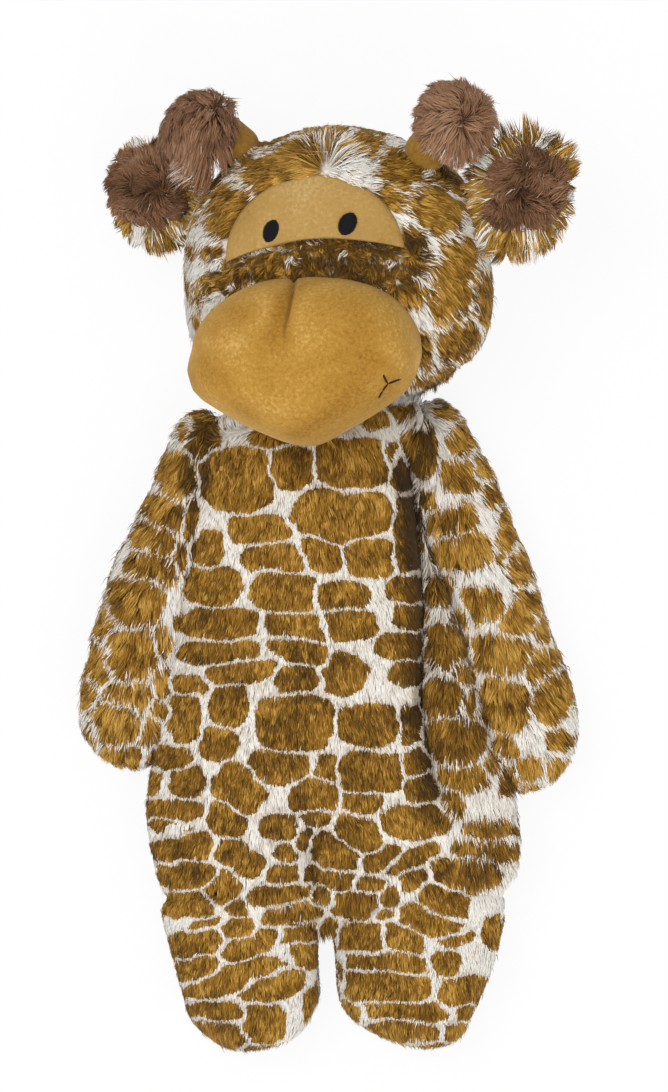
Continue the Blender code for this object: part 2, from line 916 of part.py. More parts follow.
def build():
    clear_scene()
    fabrics = make_materials()
    place = head_matrix()
    joints = make_joints(place)
    toy = joints["body"]["empty"]
    cutters = make_cutters(place, toy)
    make_body(fabrics, joints, cutters, toy)
    make_neck(fabrics, joints)
    make_head(fabrics, joints, cutters, toy, place)
    make_muzzle(fabrics, joints, toy, place)
    for side in ("left", "right"):
        make_horn(side, fabrics, joints, toy, place)
        make_ear(side, fabrics, joints, toy, place)
    make_limbs(fabrics, joints, cutters, toy)
    moved = centre_on_outline(toy)
    for joint in joints.values():
        at = joint["at"] + moved
        print(joint["name"], [round(part, 5) for part in at], [round(part, 4) for part in joint["axis"]])


build()
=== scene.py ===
# The dressed plush giraffe: stuffed skins, long pile, velour face, horns, ears, light and camera.
import math
import random

import bmesh
import bpy
import numpy as np
from mathutils import Matrix, Vector
from mathutils.kdtree import KDTree


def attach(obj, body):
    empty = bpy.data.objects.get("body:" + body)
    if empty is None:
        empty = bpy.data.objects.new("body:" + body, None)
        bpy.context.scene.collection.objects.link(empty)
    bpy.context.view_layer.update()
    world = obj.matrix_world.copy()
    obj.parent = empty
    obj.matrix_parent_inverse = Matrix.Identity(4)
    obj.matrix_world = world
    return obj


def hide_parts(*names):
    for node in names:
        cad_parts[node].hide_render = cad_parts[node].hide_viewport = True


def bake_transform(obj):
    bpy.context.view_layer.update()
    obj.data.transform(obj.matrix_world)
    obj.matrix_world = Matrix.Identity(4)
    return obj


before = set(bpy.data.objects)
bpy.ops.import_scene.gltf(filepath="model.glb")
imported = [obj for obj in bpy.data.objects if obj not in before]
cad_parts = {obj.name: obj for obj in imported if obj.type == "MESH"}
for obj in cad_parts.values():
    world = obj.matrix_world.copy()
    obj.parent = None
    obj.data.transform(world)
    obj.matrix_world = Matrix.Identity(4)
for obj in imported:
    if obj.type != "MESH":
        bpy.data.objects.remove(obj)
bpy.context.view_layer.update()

toyShift = Vector((0.00056, 0.00448, 0.0))  # the part's source centres its outline by this much
noShift = Vector((0, 0, 0))
sides = ("left", "right")


def stepUp(value, start, width):
    return np.clip((value - start) / width, 0, 1)


def stepDown(value, start, width):
    return np.clip((start - value) / width, 0, 1)


def hump(value, centre, width):
    return np.exp(-(((value - centre) / width) ** 2))


def unit(rows):
    return rows / np.maximum(np.linalg.norm(rows, axis=-1, keepdims=True), 1e-12)


def ripple(points, size, seed):
    # smooth noise, about -1 to 1, with waves about size long
    rng = np.random.default_rng(seed)
    total = np.zeros(len(points))
    for _ in range(6):
        way = unit(rng.normal(size=3)[None])[0]
        length = size * rng.uniform(0.7, 1.5)
        total += np.sin(points @ way * (2 * math.pi / length) + rng.uniform(0, 2 * math.pi))
    return total / 3.0


def deselectAll():
    for thing in list(bpy.context.selected_objects):
        thing.select_set(False)
    bpy.context.view_layer.objects.active = None


def makeObject(name, mesh):
    mesh.shade_smooth()
    thing = bpy.data.objects.new(name, mesh)
    bpy.context.scene.collection.objects.link(thing)
    return thing


def makeBall(name, centre, radius, segments=48):
    # ring by ring, because the points of Blender's own sphere come in another order each run
    polar = math.pi * np.arange(1, segments // 2)[:, None] / (segments // 2)
    turn = 2 * math.pi * np.arange(segments)[None] / segments
    level = np.repeat(np.cos(polar), segments, axis=1)
    rings = np.stack([np.sin(polar) * np.cos(turn), np.sin(polar) * np.sin(turn), level], axis=2) * radius
    ends = np.array(((0, 0, radius), (0, 0, -radius)))
    return closedSkin(name, rings, ends, Matrix.Translation(centre), noShift)


def dress(piece, material):
    piece.data.materials.clear()
    piece.data.materials.append(material)


def cutAway(piece, tools):
    # booleans with scratch objects, applied at once
    for tool in tools:
        modifier = piece.modifiers.new("cut", "BOOLEAN")
        modifier.operation = "DIFFERENCE"
        modifier.solver = "EXACT"
        modifier.object = tool
    deselectAll()
    piece.select_set(True)
    bpy.context.view_layer.objects.active = piece
    for modifier in list(piece.modifiers):
        bpy.ops.object.modifier_apply(modifier=modifier.name)
    piece.select_set(False)
    for tool in tools:
        bpy.data.objects.remove(tool, do_unlink=True)
    piece.data.shade_smooth()


def readRows(items, key):
    flat = np.empty(len(items) * 3)
    items.foreach_get(key, flat)
    return flat.reshape(-1, 3)


def readPoints(piece):
    return readRows(piece.data.vertices, "co")


def readNormals(piece):
    return readRows(piece.data.vertex_normals, "vector")


def writePoints(piece, points):
    piece.data.vertices.foreach_set("co", points.ravel())
    piece.data.update()


def addValues(mesh, name, values):
    mesh.attributes.new(name, "FLOAT", "POINT").data.foreach_set("value", values)


# Stuffed forms, as in the part's source: sections along an axis, closed by a round end at each side
def shareAt(shares, along):
    shares = np.asarray(shares, float)
    last = len(shares) - 1
    place = np.clip(along, 0, 1) * last
    index = np.minimum(place.astype(int), last - 1)
    part = place - index
    before, here = shares[np.maximum(index - 1, 0)], shares[index]
    after, beyond = shares[index + 1], shares[np.minimum(index + 2, last)]
    square, cube = part * part, part * part * part
    return (
        here * (2 * cube - 3 * square + 1)
        + (after - before) / 2 * (cube - 2 * square + part)
        + after * (3 * square - 2 * cube)
        + (beyond - here) / 2 * (cube - square)
    )


def stuffedForm(start, end, side, halfWidth, halfDepth, rootRound, tipRound, **more):
    form = dict(
        start=Vector(start), end=Vector(end), side=Vector(side).normalized(),
        halfWidth=halfWidth, halfDepth=halfDepth, rootRound=rootRound, tipRound=tipRound,
        widthShares=(1, 1), depthShares=(1, 1), bendShares=(0, 0), endPower=2.0, rootPower=None,
        upperPower=1.0, lowerPower=1.0, flipDepth=False,
    )
    form.update(more)
    return form


def axisOf(form):
    axis = form["end"] - form["start"]
    return np.array(axis.normalized()), axis.length


def sectionsOf(form, distance, inset):
    # centre, half width and half depth of the form's sections at these distances from its root
    axis, length = axisOf(form)
    side = np.array(form["side"])
    along = distance / length
    rootPart = np.maximum(0, 1 - distance / form["rootRound"])
    tipPart = np.maximum(0, 1 - (length - distance) / form["tipRound"])
    power = np.where(rootPart > 0, form["rootPower"] or form["endPower"], form["endPower"])
    close = np.maximum(0, 1 - np.maximum(rootPart, tipPart) ** power) ** (1 / power)
    moved = inset + distance * (length - 2 * inset) / length
    bend = form["halfWidth"] * shareAt(form["bendShares"], along)
    centre = np.array(form["start"]) + axis * moved[:, None] + side * bend[:, None]
    width = (form["halfWidth"] * shareAt(form["widthShares"], along) - inset) * close
    depth = (form["halfDepth"] * shareAt(form["depthShares"], along) - inset) * close
    depthWay = np.cross(side, axis)
    if depthWay[2] < 0 or form["flipDepth"]:
        depthWay = -depthWay
    return centre, width, depth, side, depthWay


def insideForm(points, form, inset):
    # True where a point lies within the form drawn in by inset
    axis, length = axisOf(form)
    distance = (points - np.array(form["start"])) @ axis
    reach = np.clip((distance - inset) * length / (length - 2 * inset), 0, length)
    centre, width, depth, side, depthWay = sectionsOf(form, reach, inset)
    across = (points - centre) @ side / np.maximum(width, 1e-6)
    deep = (points - centre) @ depthWay / np.maximum(depth, 1e-6)
    return (distance > inset) & (distance < length - inset) & (across**2 + deep**2 < 1)


def insideAny(points, forms, inset):
    points = points - np.array(toyShift)
    return np.any([insideForm(points, form, inset) for form in forms], axis=0)


def closedSkin(name, rings, ends, matrix, moved):
    # a closed mesh through rings of points, drawn together to one point at each end
    count, around = rings.shape[:2]
    pairs = [(index, (index + 1) % around) for index in range(around)]
    faces = []
    for low in range(0, (count - 1) * around, around):
        high = low + around
        faces += [(low + index, low + after, high + after, high + index) for index, after in pairs]
    last, first = (count - 1) * around, count * around
    for index, after in pairs:
        faces += [(first, after, index), (first + 1, last + index, last + after)]
    mesh = bpy.data.meshes.new(name)
    mesh.from_pydata([tuple(point) for point in np.concatenate([rings.reshape(-1, 3), ends])], [], faces)
    work = bmesh.new()
    work.from_mesh(mesh)
    bmesh.ops.recalc_face_normals(work, faces=work.faces)
    if matrix is not None:
        bmesh.ops.transform(work, matrix=matrix, verts=work.verts)
    bmesh.ops.translate(work, verts=work.verts, vec=moved)
    work.to_mesh(mesh)
    work.free()
    return makeObject(name, mesh)


def skinOf(name, form, inset, around, capRings, midRings, matrix=None, moved=toyShift):
    # a closed skin over a stuffed form, ring by ring
    length = axisOf(form)[1]
    root, tip = form["rootRound"], form["tipRound"]
    steps = np.linspace(0, math.pi / 2, capRings + 1)
    rootStations = list(root * (1 - np.cos(steps)))
    tipStations = list(length - tip * (1 - np.cos(steps[::-1])))
    straight = length - root - tip
    if straight > root * 0.001:
        middle = list(root + straight * np.arange(1, midRings + 1) / (midRings + 1))
        stations = np.array(rootStations + middle + tipStations)
    else:
        stations = np.array(rootStations + tipStations[1:])
    centre, width, depth, side, depthWay = sectionsOf(form, stations, inset)
    angles = 2 * math.pi * np.arange(around) / around
    high = np.sin(angles)
    rise = np.sign(high) * np.abs(high) ** np.where(high > 0, form["upperPower"], form["lowerPower"])
    rings = centre[1:-1, None] + side * (width[1:-1, None] * np.cos(angles))[..., None]
    rings = rings + depthWay * (depth[1:-1, None] * rise)[..., None]
    return closedSkin(name, rings, centre[[0, -1]], matrix, moved)


def puff(piece, size, amount, seed):
    # the filling is never quite even
    points, normals = readPoints(piece), readNormals(piece)
    writePoints(piece, points + normals * (ripple(points, size, seed) * amount)[:, None])


cameraPlan = {"height": 2.524, "aim": (0.0028, 0.0098), "plane": 0.024, "lens": 176.3, "sensor": 36.0}
studio = {
    "world": 0.62, "floorSize": 8.0, "shown": 0.90,
    "lamps": (("keyLamp", (-0.75, 0.35, 2.0), 1.2, 18.0), ("fillLamp", (0.6, -1.3, 1.6), 1.4, 14.5)),
}


def seenFrom(points):
    # where the camera sees a point, in mm on the plane that the pattern was laid out on
    reach = cameraPlan["height"] - cameraPlan["plane"]
    grow = reach / (cameraPlan["height"] - points[:, 2])
    aim = np.array(cameraPlan["aim"])
    return (aim + (points[:, :2] - aim) * grow[:, None]) * 1000


def makeCamera():
    data = bpy.data.cameras.new("camera")
    data.lens = cameraPlan["lens"]
    data.sensor_width = cameraPlan["sensor"]
    data.clip_end = 10.0
    camera = bpy.data.objects.new("camera", data)
    camera.location = (*cameraPlan["aim"], cameraPlan["height"])
    bpy.context.scene.collection.objects.link(camera)
    bpy.context.scene.camera = camera


def hexColour(text):
    # sRGB hex to the linear colour that a shader takes
    parts = [int(text[index : index + 2], 16) / 255 for index in (1, 3, 5)]
    return tuple(p / 12.92 if p <= 0.04045 else ((p + 0.055) / 1.055) ** 2.4 for p in parts) + (1.0,)


def newMaterial(name, settings):
    material = bpy.data.materials.new(name)
    material.use_nodes = True
    shader = material.node_tree.nodes["Principled BSDF"]
    for key, value in settings.items():
        shader.inputs[key].default_value = value
    return material, shader


def wire(node, socket, source):
    node.id_data.links.new(node.inputs[socket], source)


def addNode(material, kind, settings, output=0):
    # a node's output; each setting is a property, a socket's value, or the output that feeds the socket
    node = material.node_tree.nodes.new("ShaderNode" + kind)
    for key, value in settings.items():
        if isinstance(value, bpy.types.NodeSocket):
            wire(node, key, value)
        elif isinstance(key, str) and hasattr(node, key):
            setattr(node, key, value)
        else:
            node.inputs[key].default_value = value
    return node.outputs[output]


def addAttribute(material, name):
    return addNode(material, "Attribute", {"attribute_name": name}, "Fac")


def addMath(material, operation, *values):
    return addNode(material, "Math", {"operation": operation, **dict(enumerate(values))})


def addMix(material, kind, share, first, second, blend="MIX"):
    # kind FLOAT or RGBA, whose sockets stand at different places
    a, b, result = (2, 3, 0) if kind == "FLOAT" else (6, 7, 2)
    settings = {"data_type": kind, "blend_type": blend, 0: share, a: first, b: second}
    return addNode(material, "Mix", settings, result)


def addNoise(material, scale, detail, **more):
    place = addNode(material, "TexCoord", {}, "Object")
    return addNode(material, "TexNoise", {"Scale": scale, "Detail": detail, **more, "Vector": place}, "Fac")


def addRamp(material, source, stops):
    colour = addNode(material, "ValToRGB", {"Fac": source})
    ramp = colour.node.color_ramp
    while len(ramp.elements) < len(stops):
        ramp.elements.new(0.5)
    for element, (place, shade) in zip(ramp.elements, stops):
        element.position = place
        element.color = hexColour(shade)
    return colour


def addBump(material, shader, strength, distance, height):
    settings = {"Strength": strength, "Distance": distance, "Height": height}
    wire(shader, "Normal", addNode(material, "Bump", settings))


def makeStudio():
    scene = bpy.context.scene
    world = bpy.data.worlds.new("studio")
    scene.world = world
    world.use_nodes = True
    world.node_tree.nodes["Background"].inputs["Color"].default_value = (1, 1, 1, 1)
    world.node_tree.nodes["Background"].inputs["Strength"].default_value = studio["world"]
    for name, place, size, power in studio["lamps"]:
        data = bpy.data.lights.new(name, "AREA")
        data.size = size
        data.energy = power
        lamp = bpy.data.objects.new(name, data)
        lamp.location = place
        lamp.rotation_euler = (Vector((0, 0, 0.03)) - Vector(place)).to_track_quat("-Z", "Y").to_euler()
        scene.collection.objects.link(lamp)
    deselectAll()
    bpy.ops.mesh.primitive_plane_add(size=studio["floorSize"], location=(0, 0, 0))
    floor = bpy.context.active_object
    floor.name = "floor"
    # matt white paper: it takes the toy's soft shadow, and shows as white
    material, shader = newMaterial("matt_paper", {"Base Color": (0.9, 0.9, 0.9, 1), "Roughness": 0.95})
    rays = [addNode(material, "LightPath", {}, ray) for ray in ("Is Camera Ray", "Is Glossy Ray")]
    shown = addMath(material, "MULTIPLY", addMath(material, "MAXIMUM", *rays), studio["shown"])
    glow = addNode(material, "Emission", {"Color": (1, 1, 1, 1), "Strength": 1.0})
    paper = addNode(material, "MixShader", {0: shown, 1: shader.outputs[0], 2: glow})
    wire(material.node_tree.nodes["Material Output"], "Surface", paper)
    dress(floor, material)
    scene.view_settings.view_transform = "Standard"


makeCamera()
makeStudio()
print("camera, light and floor are up")


def furMaterial(name, brown, white, rootShade, sheen):
    # polyester pile: matt, each strand a little lighter or darker, with painted shade that darkens it towards the
    # root, where no light gets in
    material, shader = newMaterial(name, {
        "Roughness": 0.72, "IOR": 1.50, "Specular IOR Level": 0.22, "Sheen Weight": sheen,
        "Sheen Roughness": 0.5,
    })
    coat, along = addAttribute(material, "coat"), addAttribute(material, "tipwards")
    under = addMath(material, "LESS_THAN", along, addAttribute(material, "bandTop"))
    over = addMath(material, "GREATER_THAN", along, addAttribute(material, "bandFoot"))
    other = addMath(material, "MULTIPLY_ADD", coat, -0.76, 1.0)
    dyed = addMix(material, "FLOAT", addMath(material, "MULTIPLY", under, over), coat, other)
    # the strand's own random tone, which also carries the painted shade that a plan's tone puts in creases and
    # joints, mixed with random tone
    strandToneAndShade = addMix(material, "FLOAT", 0.42, addAttribute(material, "strand"), addNoise(material, 45.0, 3.0))
    pile = addMix(material, "RGBA", dyed, addRamp(material, strandToneAndShade, white), addRamp(material, strandToneAndShade, brown))
    # painted shade: the colour falls to rootShade at the root and rises to full at 0.85 of the way to the tip
    settings = {"From Min": 0.0, "From Max": 0.85, "To Min": rootShade, "To Max": 1.0, "Value": along}
    depth = addNode(material, "MapRange", settings)
    wire(shader, "Base Color", addMix(material, "RGBA", 1.0, pile, depth, "MULTIPLY"))
    return material


def knitMaterial(name, dark, light):
    # the knitted backing that the pile grows from: matt and dull, seen only down in the parting of the pile
    material, shader = newMaterial(name, {"Roughness": 0.95, "IOR": 1.50, "Specular IOR Level": 0.1})
    grain = addNoise(material, 900.0, 2.0)
    brown = addRamp(material, grain, ((0.3, dark), (0.7, light)))
    white = addRamp(material, grain, ((0.3, "#cfc4b6"), (0.7, "#ebe2d6")))
    wire(shader, "Base Color", addMix(material, "RGBA", addAttribute(material, "coat"), white, brown))
    return material


def velourMaterial(name, stops):
    # warp-knit velour: a nap about 1 mm deep, soft-lit at its edges, brushed lighter and darker in patches
    material, shader = newMaterial(name, {
        "Roughness": 0.85, "IOR": 1.50, "Specular IOR Level": 0.15, "Sheen Weight": 0.30,
        "Sheen Roughness": 0.45, "Sheen Tint": hexColour("#f0d9a0"),
    })
    brushed = addNoise(material, 20.0, 2.0, Roughness=0.5, Distortion=0.6)
    nap = addNoise(material, 620.0, 4.0, Roughness=0.7)
    cloth = addRamp(material, addMix(material, "FLOAT", 0.38, brushed, nap), stops)
    # painted shade: the velour darkens to a deep brown along the tuck's crease
    tuckShade = addAttribute(material, "tuckShade")
    wire(shader, "Base Color", addMix(material, "RGBA", tuckShade, cloth, hexColour("#6d4a1c")))
    addBump(material, shader, 0.5, 0.0007, nap)
    return material


def threadMaterial(name, colour, light):
    # rayon embroidery thread: a twisted strand with a soft gloss along it
    material, shader = newMaterial(name, {"Roughness": 0.55, "IOR": 1.47, "Specular IOR Level": 0.22})
    ply = addNoise(material, 2200.0, 2.0)
    wire(shader, "Base Color", addRamp(material, ply, ((0.3, colour), (0.7, light))))
    addBump(material, shader, 0.4, 0.0002, ply)
    return material


plush = furMaterial(
    "giraffe_print_pile_plush",
    (
        (0.10, "#2e1f06"), (0.28, "#60420a"), (0.42, "#865e15"), (0.50, "#9c6f1f"), (0.58, "#b28129"),
        (0.74, "#d8a94f"),
    ),
    ((0.08, "#c2ae94"), (0.30, "#f3eadc"), (0.50, "#fffaf0"), (0.8, "#fffef8")),
    0.66, 0.10,
)
brownPile = furMaterial(
    "brown_long_pile",
    ((0.12, "#64432c"), (0.40, "#986e4f"), (0.62, "#b08564"), (0.88, "#cfad90")),
    ((0.0, "#d2c2b2"), (0.5, "#e2d6ca"), (1.0, "#f3ebe4")),
    0.60, 0.15,
)
earPile = furMaterial(
    "brown_curly_pile",
    ((0.10, "#3f2814"), (0.38, "#7c5638"), (0.62, "#976d4f"), (0.90, "#b99478")),
    ((0.0, "#c9b096"), (0.5, "#ddcab2"), (1.0, "#efe4d4")),
    0.50, 0.12,
)
knit = knitMaterial("plush_backing_knit", "#5e4114", "#8a6222")
brownKnit = knitMaterial("brown_backing_knit", "#4a3120", "#6d4c37")
# a darker copy of the tan velour for the horn stubs: painted shade, as they sit in the shade of the pile
hornVelourPaintedShade = velourMaterial(
    "tan_velour_painted_shade", ((0.36, "#6b4a17"), (0.44, "#876222"), (0.54, "#9a7331"), (0.64, "#b8924f"))
)
velour = velourMaterial(
    "tan_velour", ((0.36, "#875d1d"), (0.44, "#a5772a"), (0.54, "#b98c3d"), (0.64, "#d8b066"))
)
# a lighter copy of the tan velour for the forehead patch: painted sheen off its nap, which is laid up
patchVelourPaintedSheen = velourMaterial(
    "tan_velour_nap_up_painted_sheen", ((0.34, "#94703a"), (0.44, "#ab8648"), (0.55, "#b89354"), (0.66, "#cdae76"))
)
blackThread = threadMaterial("black_rayon_thread", "#040507", "#101116")
mouthThread = threadMaterial("dark_brown_thread", "#1a0e06", "#33200f")

# The giraffe print. Spots as seen from above, in mm: across, along, half width, half height, and tilt in
# degrees where a spot leans
spotTables = {
    "body": (
        (-42.1, 41.5, 17.8, 15), (-18.2, 46.7, 12.2, 9.4), (11.2, 49.1, 17.3, 11.7), (-26.2, 61.2, 9.4, 4.2),
        (29.4, 53.7, 4.2, 5.6), (6.5, 24.3, 22.4, 12.2), (-32.3, 18.2, 13.1, 6.5), (-57, 9.3, 7.5, 8.4),
        (-24.3, 5.1, 14.5, 6.5), (-3.7, 6.5, 10.3, 7, -30), (19.6, 5.6, 10.8, 9.4), (-53.8, -8.4, 12.6, 9.4),
        (-20.1, -10.8, 15.4, 9.4, -8), (6.5, -13.1, 12.6, 6.1), (10.3, -26.7, 12.2, 7),
        (-50, -25.7, 17.8, 6.5), (-15, -27.1, 14.5, 6.1, -10), (-50.5, -39.3, 18.7, 5.1),
        (-14.5, -38.4, 13.1, 5.6, -10), (-40.2, -48.2, 15.4, 5.6, 8), (-15, -51.4, 9.4, 6.1),
        (8.4, -49.6, 9.4, 9.4, -30), (-66.4, -54.2, 9.4, 3.7), (36, -9.8, 7.9, 6.5), (38.3, -22.5, 7.5, 5.6),
        (34.6, -36.5, 11.2, 6.1), (37.4, -49.1, 7.9, 5.6), (37.4, 17.3, 6.5, 16.4), (52.4, -10.8, 6.5, 7),
        (55.2, -36.5, 10.3, 10.3), (63.1, -49.1, 4.7, 6.5), (54.2, -60.8, 10.3, 9.4), (65.4, -63.1, 3.7, 7),
        (59.8, -81.8, 14.5, 11.2), (62.6, -98.2, 12.6, 5.6), (58.9, -109.9, 4.2, 6.5),
        (-15.4, -72.5, 17.8, 13.1), (-46.3, -64.5, 8.4, 9.4), (-67.3, -69.2, 7, 11.7), (-51, -82.3, 8.4, 7.5),
        (-74.8, -87.9, 10.3, 5.6), (-23.8, -93.5, 13.6, 7.9), (0, -93.5, 5.1, 6.1), (19.6, -73.4, 15.4, 9.4),
        (19.6, -95.9, 15.4, 9.8), (-41.1, -102.9, 12.2, 9.4, -35), (-83.7, -99.6, 5.6, 5.6),
        (-65.9, -99.6, 7.5, 6.5, 20), (-6.1, -107.1, 11.2, 7.5), (15.9, -108.9, 9.4, 5.6),
        (43.9, -102.4, 7.9, 6.5, 20), (41.6, -91.2, 7.5, 5.6, 20), (37.9, -72.5, 5.6, 8.4),
        (-73.9, -112.7, 14.5, 4.2), (-76.7, -122, 9.4, 4.2), (-47.2, -117.8, 9.4, 7, -35),
        (-21.5, -121.6, 9.4, 5.6), (-6.6, -116, 6.1, 3.7), (15, -123.9, 11.2, 7.5, -25),
        (40.7, -118.3, 15.4, 7.9), (-68.3, -130, 13.6, 6.5, 8), (-40.2, -135.6, 12.2, 6.1, -30),
        (-17.8, -132.3, 5.6, 3.7), (-12.2, -126.7, 3.7, 6.5), (3.3, -133.7, 11.2, 7.9, -30),
        (25.2, -135.6, 8.4, 4.7, 25), (39.3, -135.6, 11.2, 3.7, 25), (-65.9, -143.1, 13.1, 6.1),
        (-49.6, -150.1, 7.9, 7, 40), (-21, -143.1, 8.4, 4.2), (0.9, -144.9, 12.2, 5.1, -8),
        (-22.4, -152.4, 14, 4.7, 8), (21, -148.2, 8.4, 3.7), (39.7, -144.9, 6.5, 4.7, 20),
        (64, -142.6, 15.4, 8.4), (74.3, -131.4, 15, 6.5), (75.7, -123.9, 12.2, 5.6),
        (54.7, -156.6, 11.2, 7.5, -30), (-66.4, -157.1, 11.7, 5.6), (-43, -158.5, 4.7, 4.2),
        (-3.3, -152.9, 4.7, 4.7), (13.6, -157.1, 10.8, 6.1), (28.5, -152.4, 4.2, 5.6),
        (26.6, -161.8, 4.7, 2.8), (48.6, -165.5, 14.5, 6.5, -15), (-17.3, -161.8, 12.2, 4.2, 10),
        (-57.5, -166.9, 7.9, 2.8, 20), (-41.6, -167.8, 7.5, 4.7), (-12.2, -170.7, 8.9, 4.2, 10),
        (-63.1, -175.3, 12.2, 6.1, 10), (-36.9, -176.3, 12.6, 4.7, 25), (15, -172.5, 11.2, 6.5),
        (0.5, -169.7, 4.7, 5.6, -35), (35.1, -173, 9.4, 5.6, -15), (58.4, -173.9, 7.9, 2.8, 20),
        (77.1, -169.7, 4.7, 7), (62.6, -20.1, 4.2, 7.5), (-73.9, -123, 10.3, 3.7), (33.5, 73.5, 6, 5, 20),
        (23, 69, 6, 3, 20), (34.5, 47, 5, 9), (55, 80, 6, 4), (43, 85, 6, 3), (-53.5, 80, 5, 3.5),
    ),
    "leftArm": (
        (-58.4, 60.8, 7.5, 9.4), (-70.1, 42.5, 7.9, 10.3, 15), (-75.7, 24.8, 9.4, 7.5, -8),
        (-64.1, 23.8, 2.8, 10.3), (-80.4, 14, 9.4, 7.5, -12), (-82.3, -0.5, 10.8, 7, -12),
        (-68.7, 7, 3.3, 6.5), (-89.3, -15.4, 11.7, 9.8, -6), (-105.2, -24.8, 2.3, 6.5),
        (-91.2, -40.7, 13.1, 10.3), (-77.6, -36.5, 4.2, 7), (-108.9, -43, 5.1, 8.4, 15),
        (-114.5, -55.2, 3.3, 7, 10), (-92.1, -61.3, 10.8, 6.5), (-78.5, -65.9, 4.7, 4.2),
        (-77.6, -52.8, 4.2, 7.5), (-98.2, -72.5, 11.2, 9.4), (-83.2, -76.7, 4.2, 7.9),
        (-111.7, -80, 2.8, 6.5, -20), (-95.8, -88.8, 8.4, 5.1), (-65.5, 64, 2.8, 3.7),
    ),
    "rightArm": (
        (42.1, 53.7, 8.9, 10.8), (55.2, 73.8, 4.2, 4.7), (63.6, 60.8, 5.6, 7.5, -25), (63.1, 42.5, 9.8, 7),
        (72.5, 46.7, 5.6, 6.1, -30), (77.1, 35.5, 3.7, 5.6), (46.3, 31.3, 4.2, 4.2), (58, 21.5, 11.2, 7, 15),
        (63.1, 7.5, 13.6, 7.9), (84.6, 17.7, 4.7, 12.6, -10), (89.8, 0.4, 5.6, 7.5), (70.6, -17.8, 11.2, 7.9),
        (91.2, -22, 7, 11.2, -25), (102.4, -27.1, 3.7, 7, -20), (80.9, -40.2, 13.6, 9.4),
        (100.5, -45.8, 6.1, 8.9, -25), (82.3, -64.5, 12.2, 11.7, -10), (105.7, -59.4, 8.9, 12.2, -20),
        (83.2, -83.7, 5.1, 5.1), (94.4, -94, 5.6, 5.6), (108.5, -80.4, 5.6, 4.7), (108.5, -94.9, 5.6, 5.1),
        (84.1, -99.1, 4.7, 6.5), (93.5, -104.3, 4.2, 2.8), (77.6, -92.1, 4.7, 5.1),
    ),
    "leftLeg": (
        (-63.1, -175.3, 12.2, 6.1, 10), (-57.5, -166.9, 7.9, 2.8, 20), (-36.9, -176.3, 13.1, 4.7, 25),
        (-12.2, -170.7, 8.9, 4.2, 10), (-62.2, -187, 10.3, 4.7, 15), (-9.8, -180.9, 6.5, 6.1),
        (-43, -191.7, 21.5, 5.6, 17), (-26.2, -195, 15.4, 6.5, 12), (-53.8, -206.7, 11.2, 4.2),
        (-7, -204.3, 4.2, 11.2, 5), (-29.5, -212.7, 9.4, 8.9), (-51.9, -218.3, 12.2, 6.5, -20),
        (-30.4, -224.9, 7.5, 1.4), (-17.3, -161.8, 12.2, 4.2, 10), (-41.6, -167.8, 7.5, 4.7),
        (-66.4, -157.1, 11.7, 5.6),
    ),
    "rightLeg": (
        (15, -172.5, 11.2, 6.5), (0.5, -171.6, 4.7, 5.6, -35), (35.1, -173, 9.4, 5.6, -15),
        (48.6, -165.5, 14.5, 6.5, -15), (58.4, -173.9, 7.9, 2.8, 20), (54.7, -183.7, 6.5, 7),
        (28, -184.7, 19.6, 4.2, -3), (26.6, -195.9, 20.1, 7.5, -3), (4.7, -189.8, 2.8, 7.5, -10),
        (63.1, -198.2, 10.8, 7, 12), (34.1, -207.6, 21.5, 4.2, -2), (11.7, -206.7, 6.5, 3.7, -30),
        (66.4, -208.1, 7.5, 4.2, 15), (35.1, -216, 15.9, 4.7, -8), (61.2, -216.9, 7, 4.7, 10),
        (48.6, -223, 7.9, 1.4), (77.1, -169.7, 4.7, 7), (12.6, -157.1, 10.3, 6.1), (26.2, -161.3, 4.2, 2.3),
        (54.7, -156.6, 11.2, 7.5, -30),
    ),
    "head": (
        (-23.4, 186.5, 18.7, 9.8, 15), (-44.9, 168.3, 8.4, 12.6, -22), (1.4, 203.8, 9.4, 2.3),
        (17.3, 198.7, 7.9, 6.5, -30), (33.7, 186.5, 9.8, 8.4, -20), (50, 167.8, 11.7, 10.3, -35),
        (29, 173, 5.6, 3.7, -30), (39.3, 148.2, 6.1, 11.2), (58.4, 134.6, 8.4, 19.6, -10),
        (72.9, 126.2, 4.2, 12.2), (58.4, 107, 12.5, 9, 40), (49.1, 87.4, 14, 6.5, 35), (46.7, 103.8, 3.7, 7),
        (8.9, 147.7, 22.4, 4.2, -6), (-18.7, 140.7, 19.6, 6.5), (20.6, 138.8, 16.8, 6.1, -10),
        (-49.6, 135.6, 10.3, 3.7, 20), (36, 129.5, 8.4, 6.5, -30), (-57.5, 148.2, 5.1, 1.9),
        (-64.5, 126.7, 4.2, 4.7), (-64.1, 114.5, 4.7, 6.1), (55.5, 76.2, 9, 6.5, -20),
        (39.3, 75.7, 8.4, 4.7, 10), (29.9, 68.7, 10.3, 4.2, 15), (-36.5, 64, 9.4, 5.6),
        (-48.2, 66.4, 6.5, 6.5), (-13.1, 59.4, 12.2, 4.7), (10.3, 63.1, 9.4, 4.2), (52.4, 68.7, 7.5, 5.6),
        (-30.9, 194, 5.6, 3.7, 40), (66.4, 93.5, 7, 6.5, 40), (-61.7, 103.8, 4.2, 4.7),
        (-60.3, 91.1, 4.7, 4.7), (-56.6, 79.9, 5.6, 4.2), (58, 181, 8, 7, -40), (-48, 186, 6, 4, 30),
    ),
}
spotPlan = {
    "topPower": 4.0, "footPower": 2.2, "line": 1.35, "lap": 1.0, "wobble": 0.9, "soft": 0.2,
    "backSpacing": 19.0, "backLine": 2.6, "facing": -0.10,
    "grow": {"head": 1.3, "leftArm": 1.6}, "wrapBelow": {"head": 0.070},
}


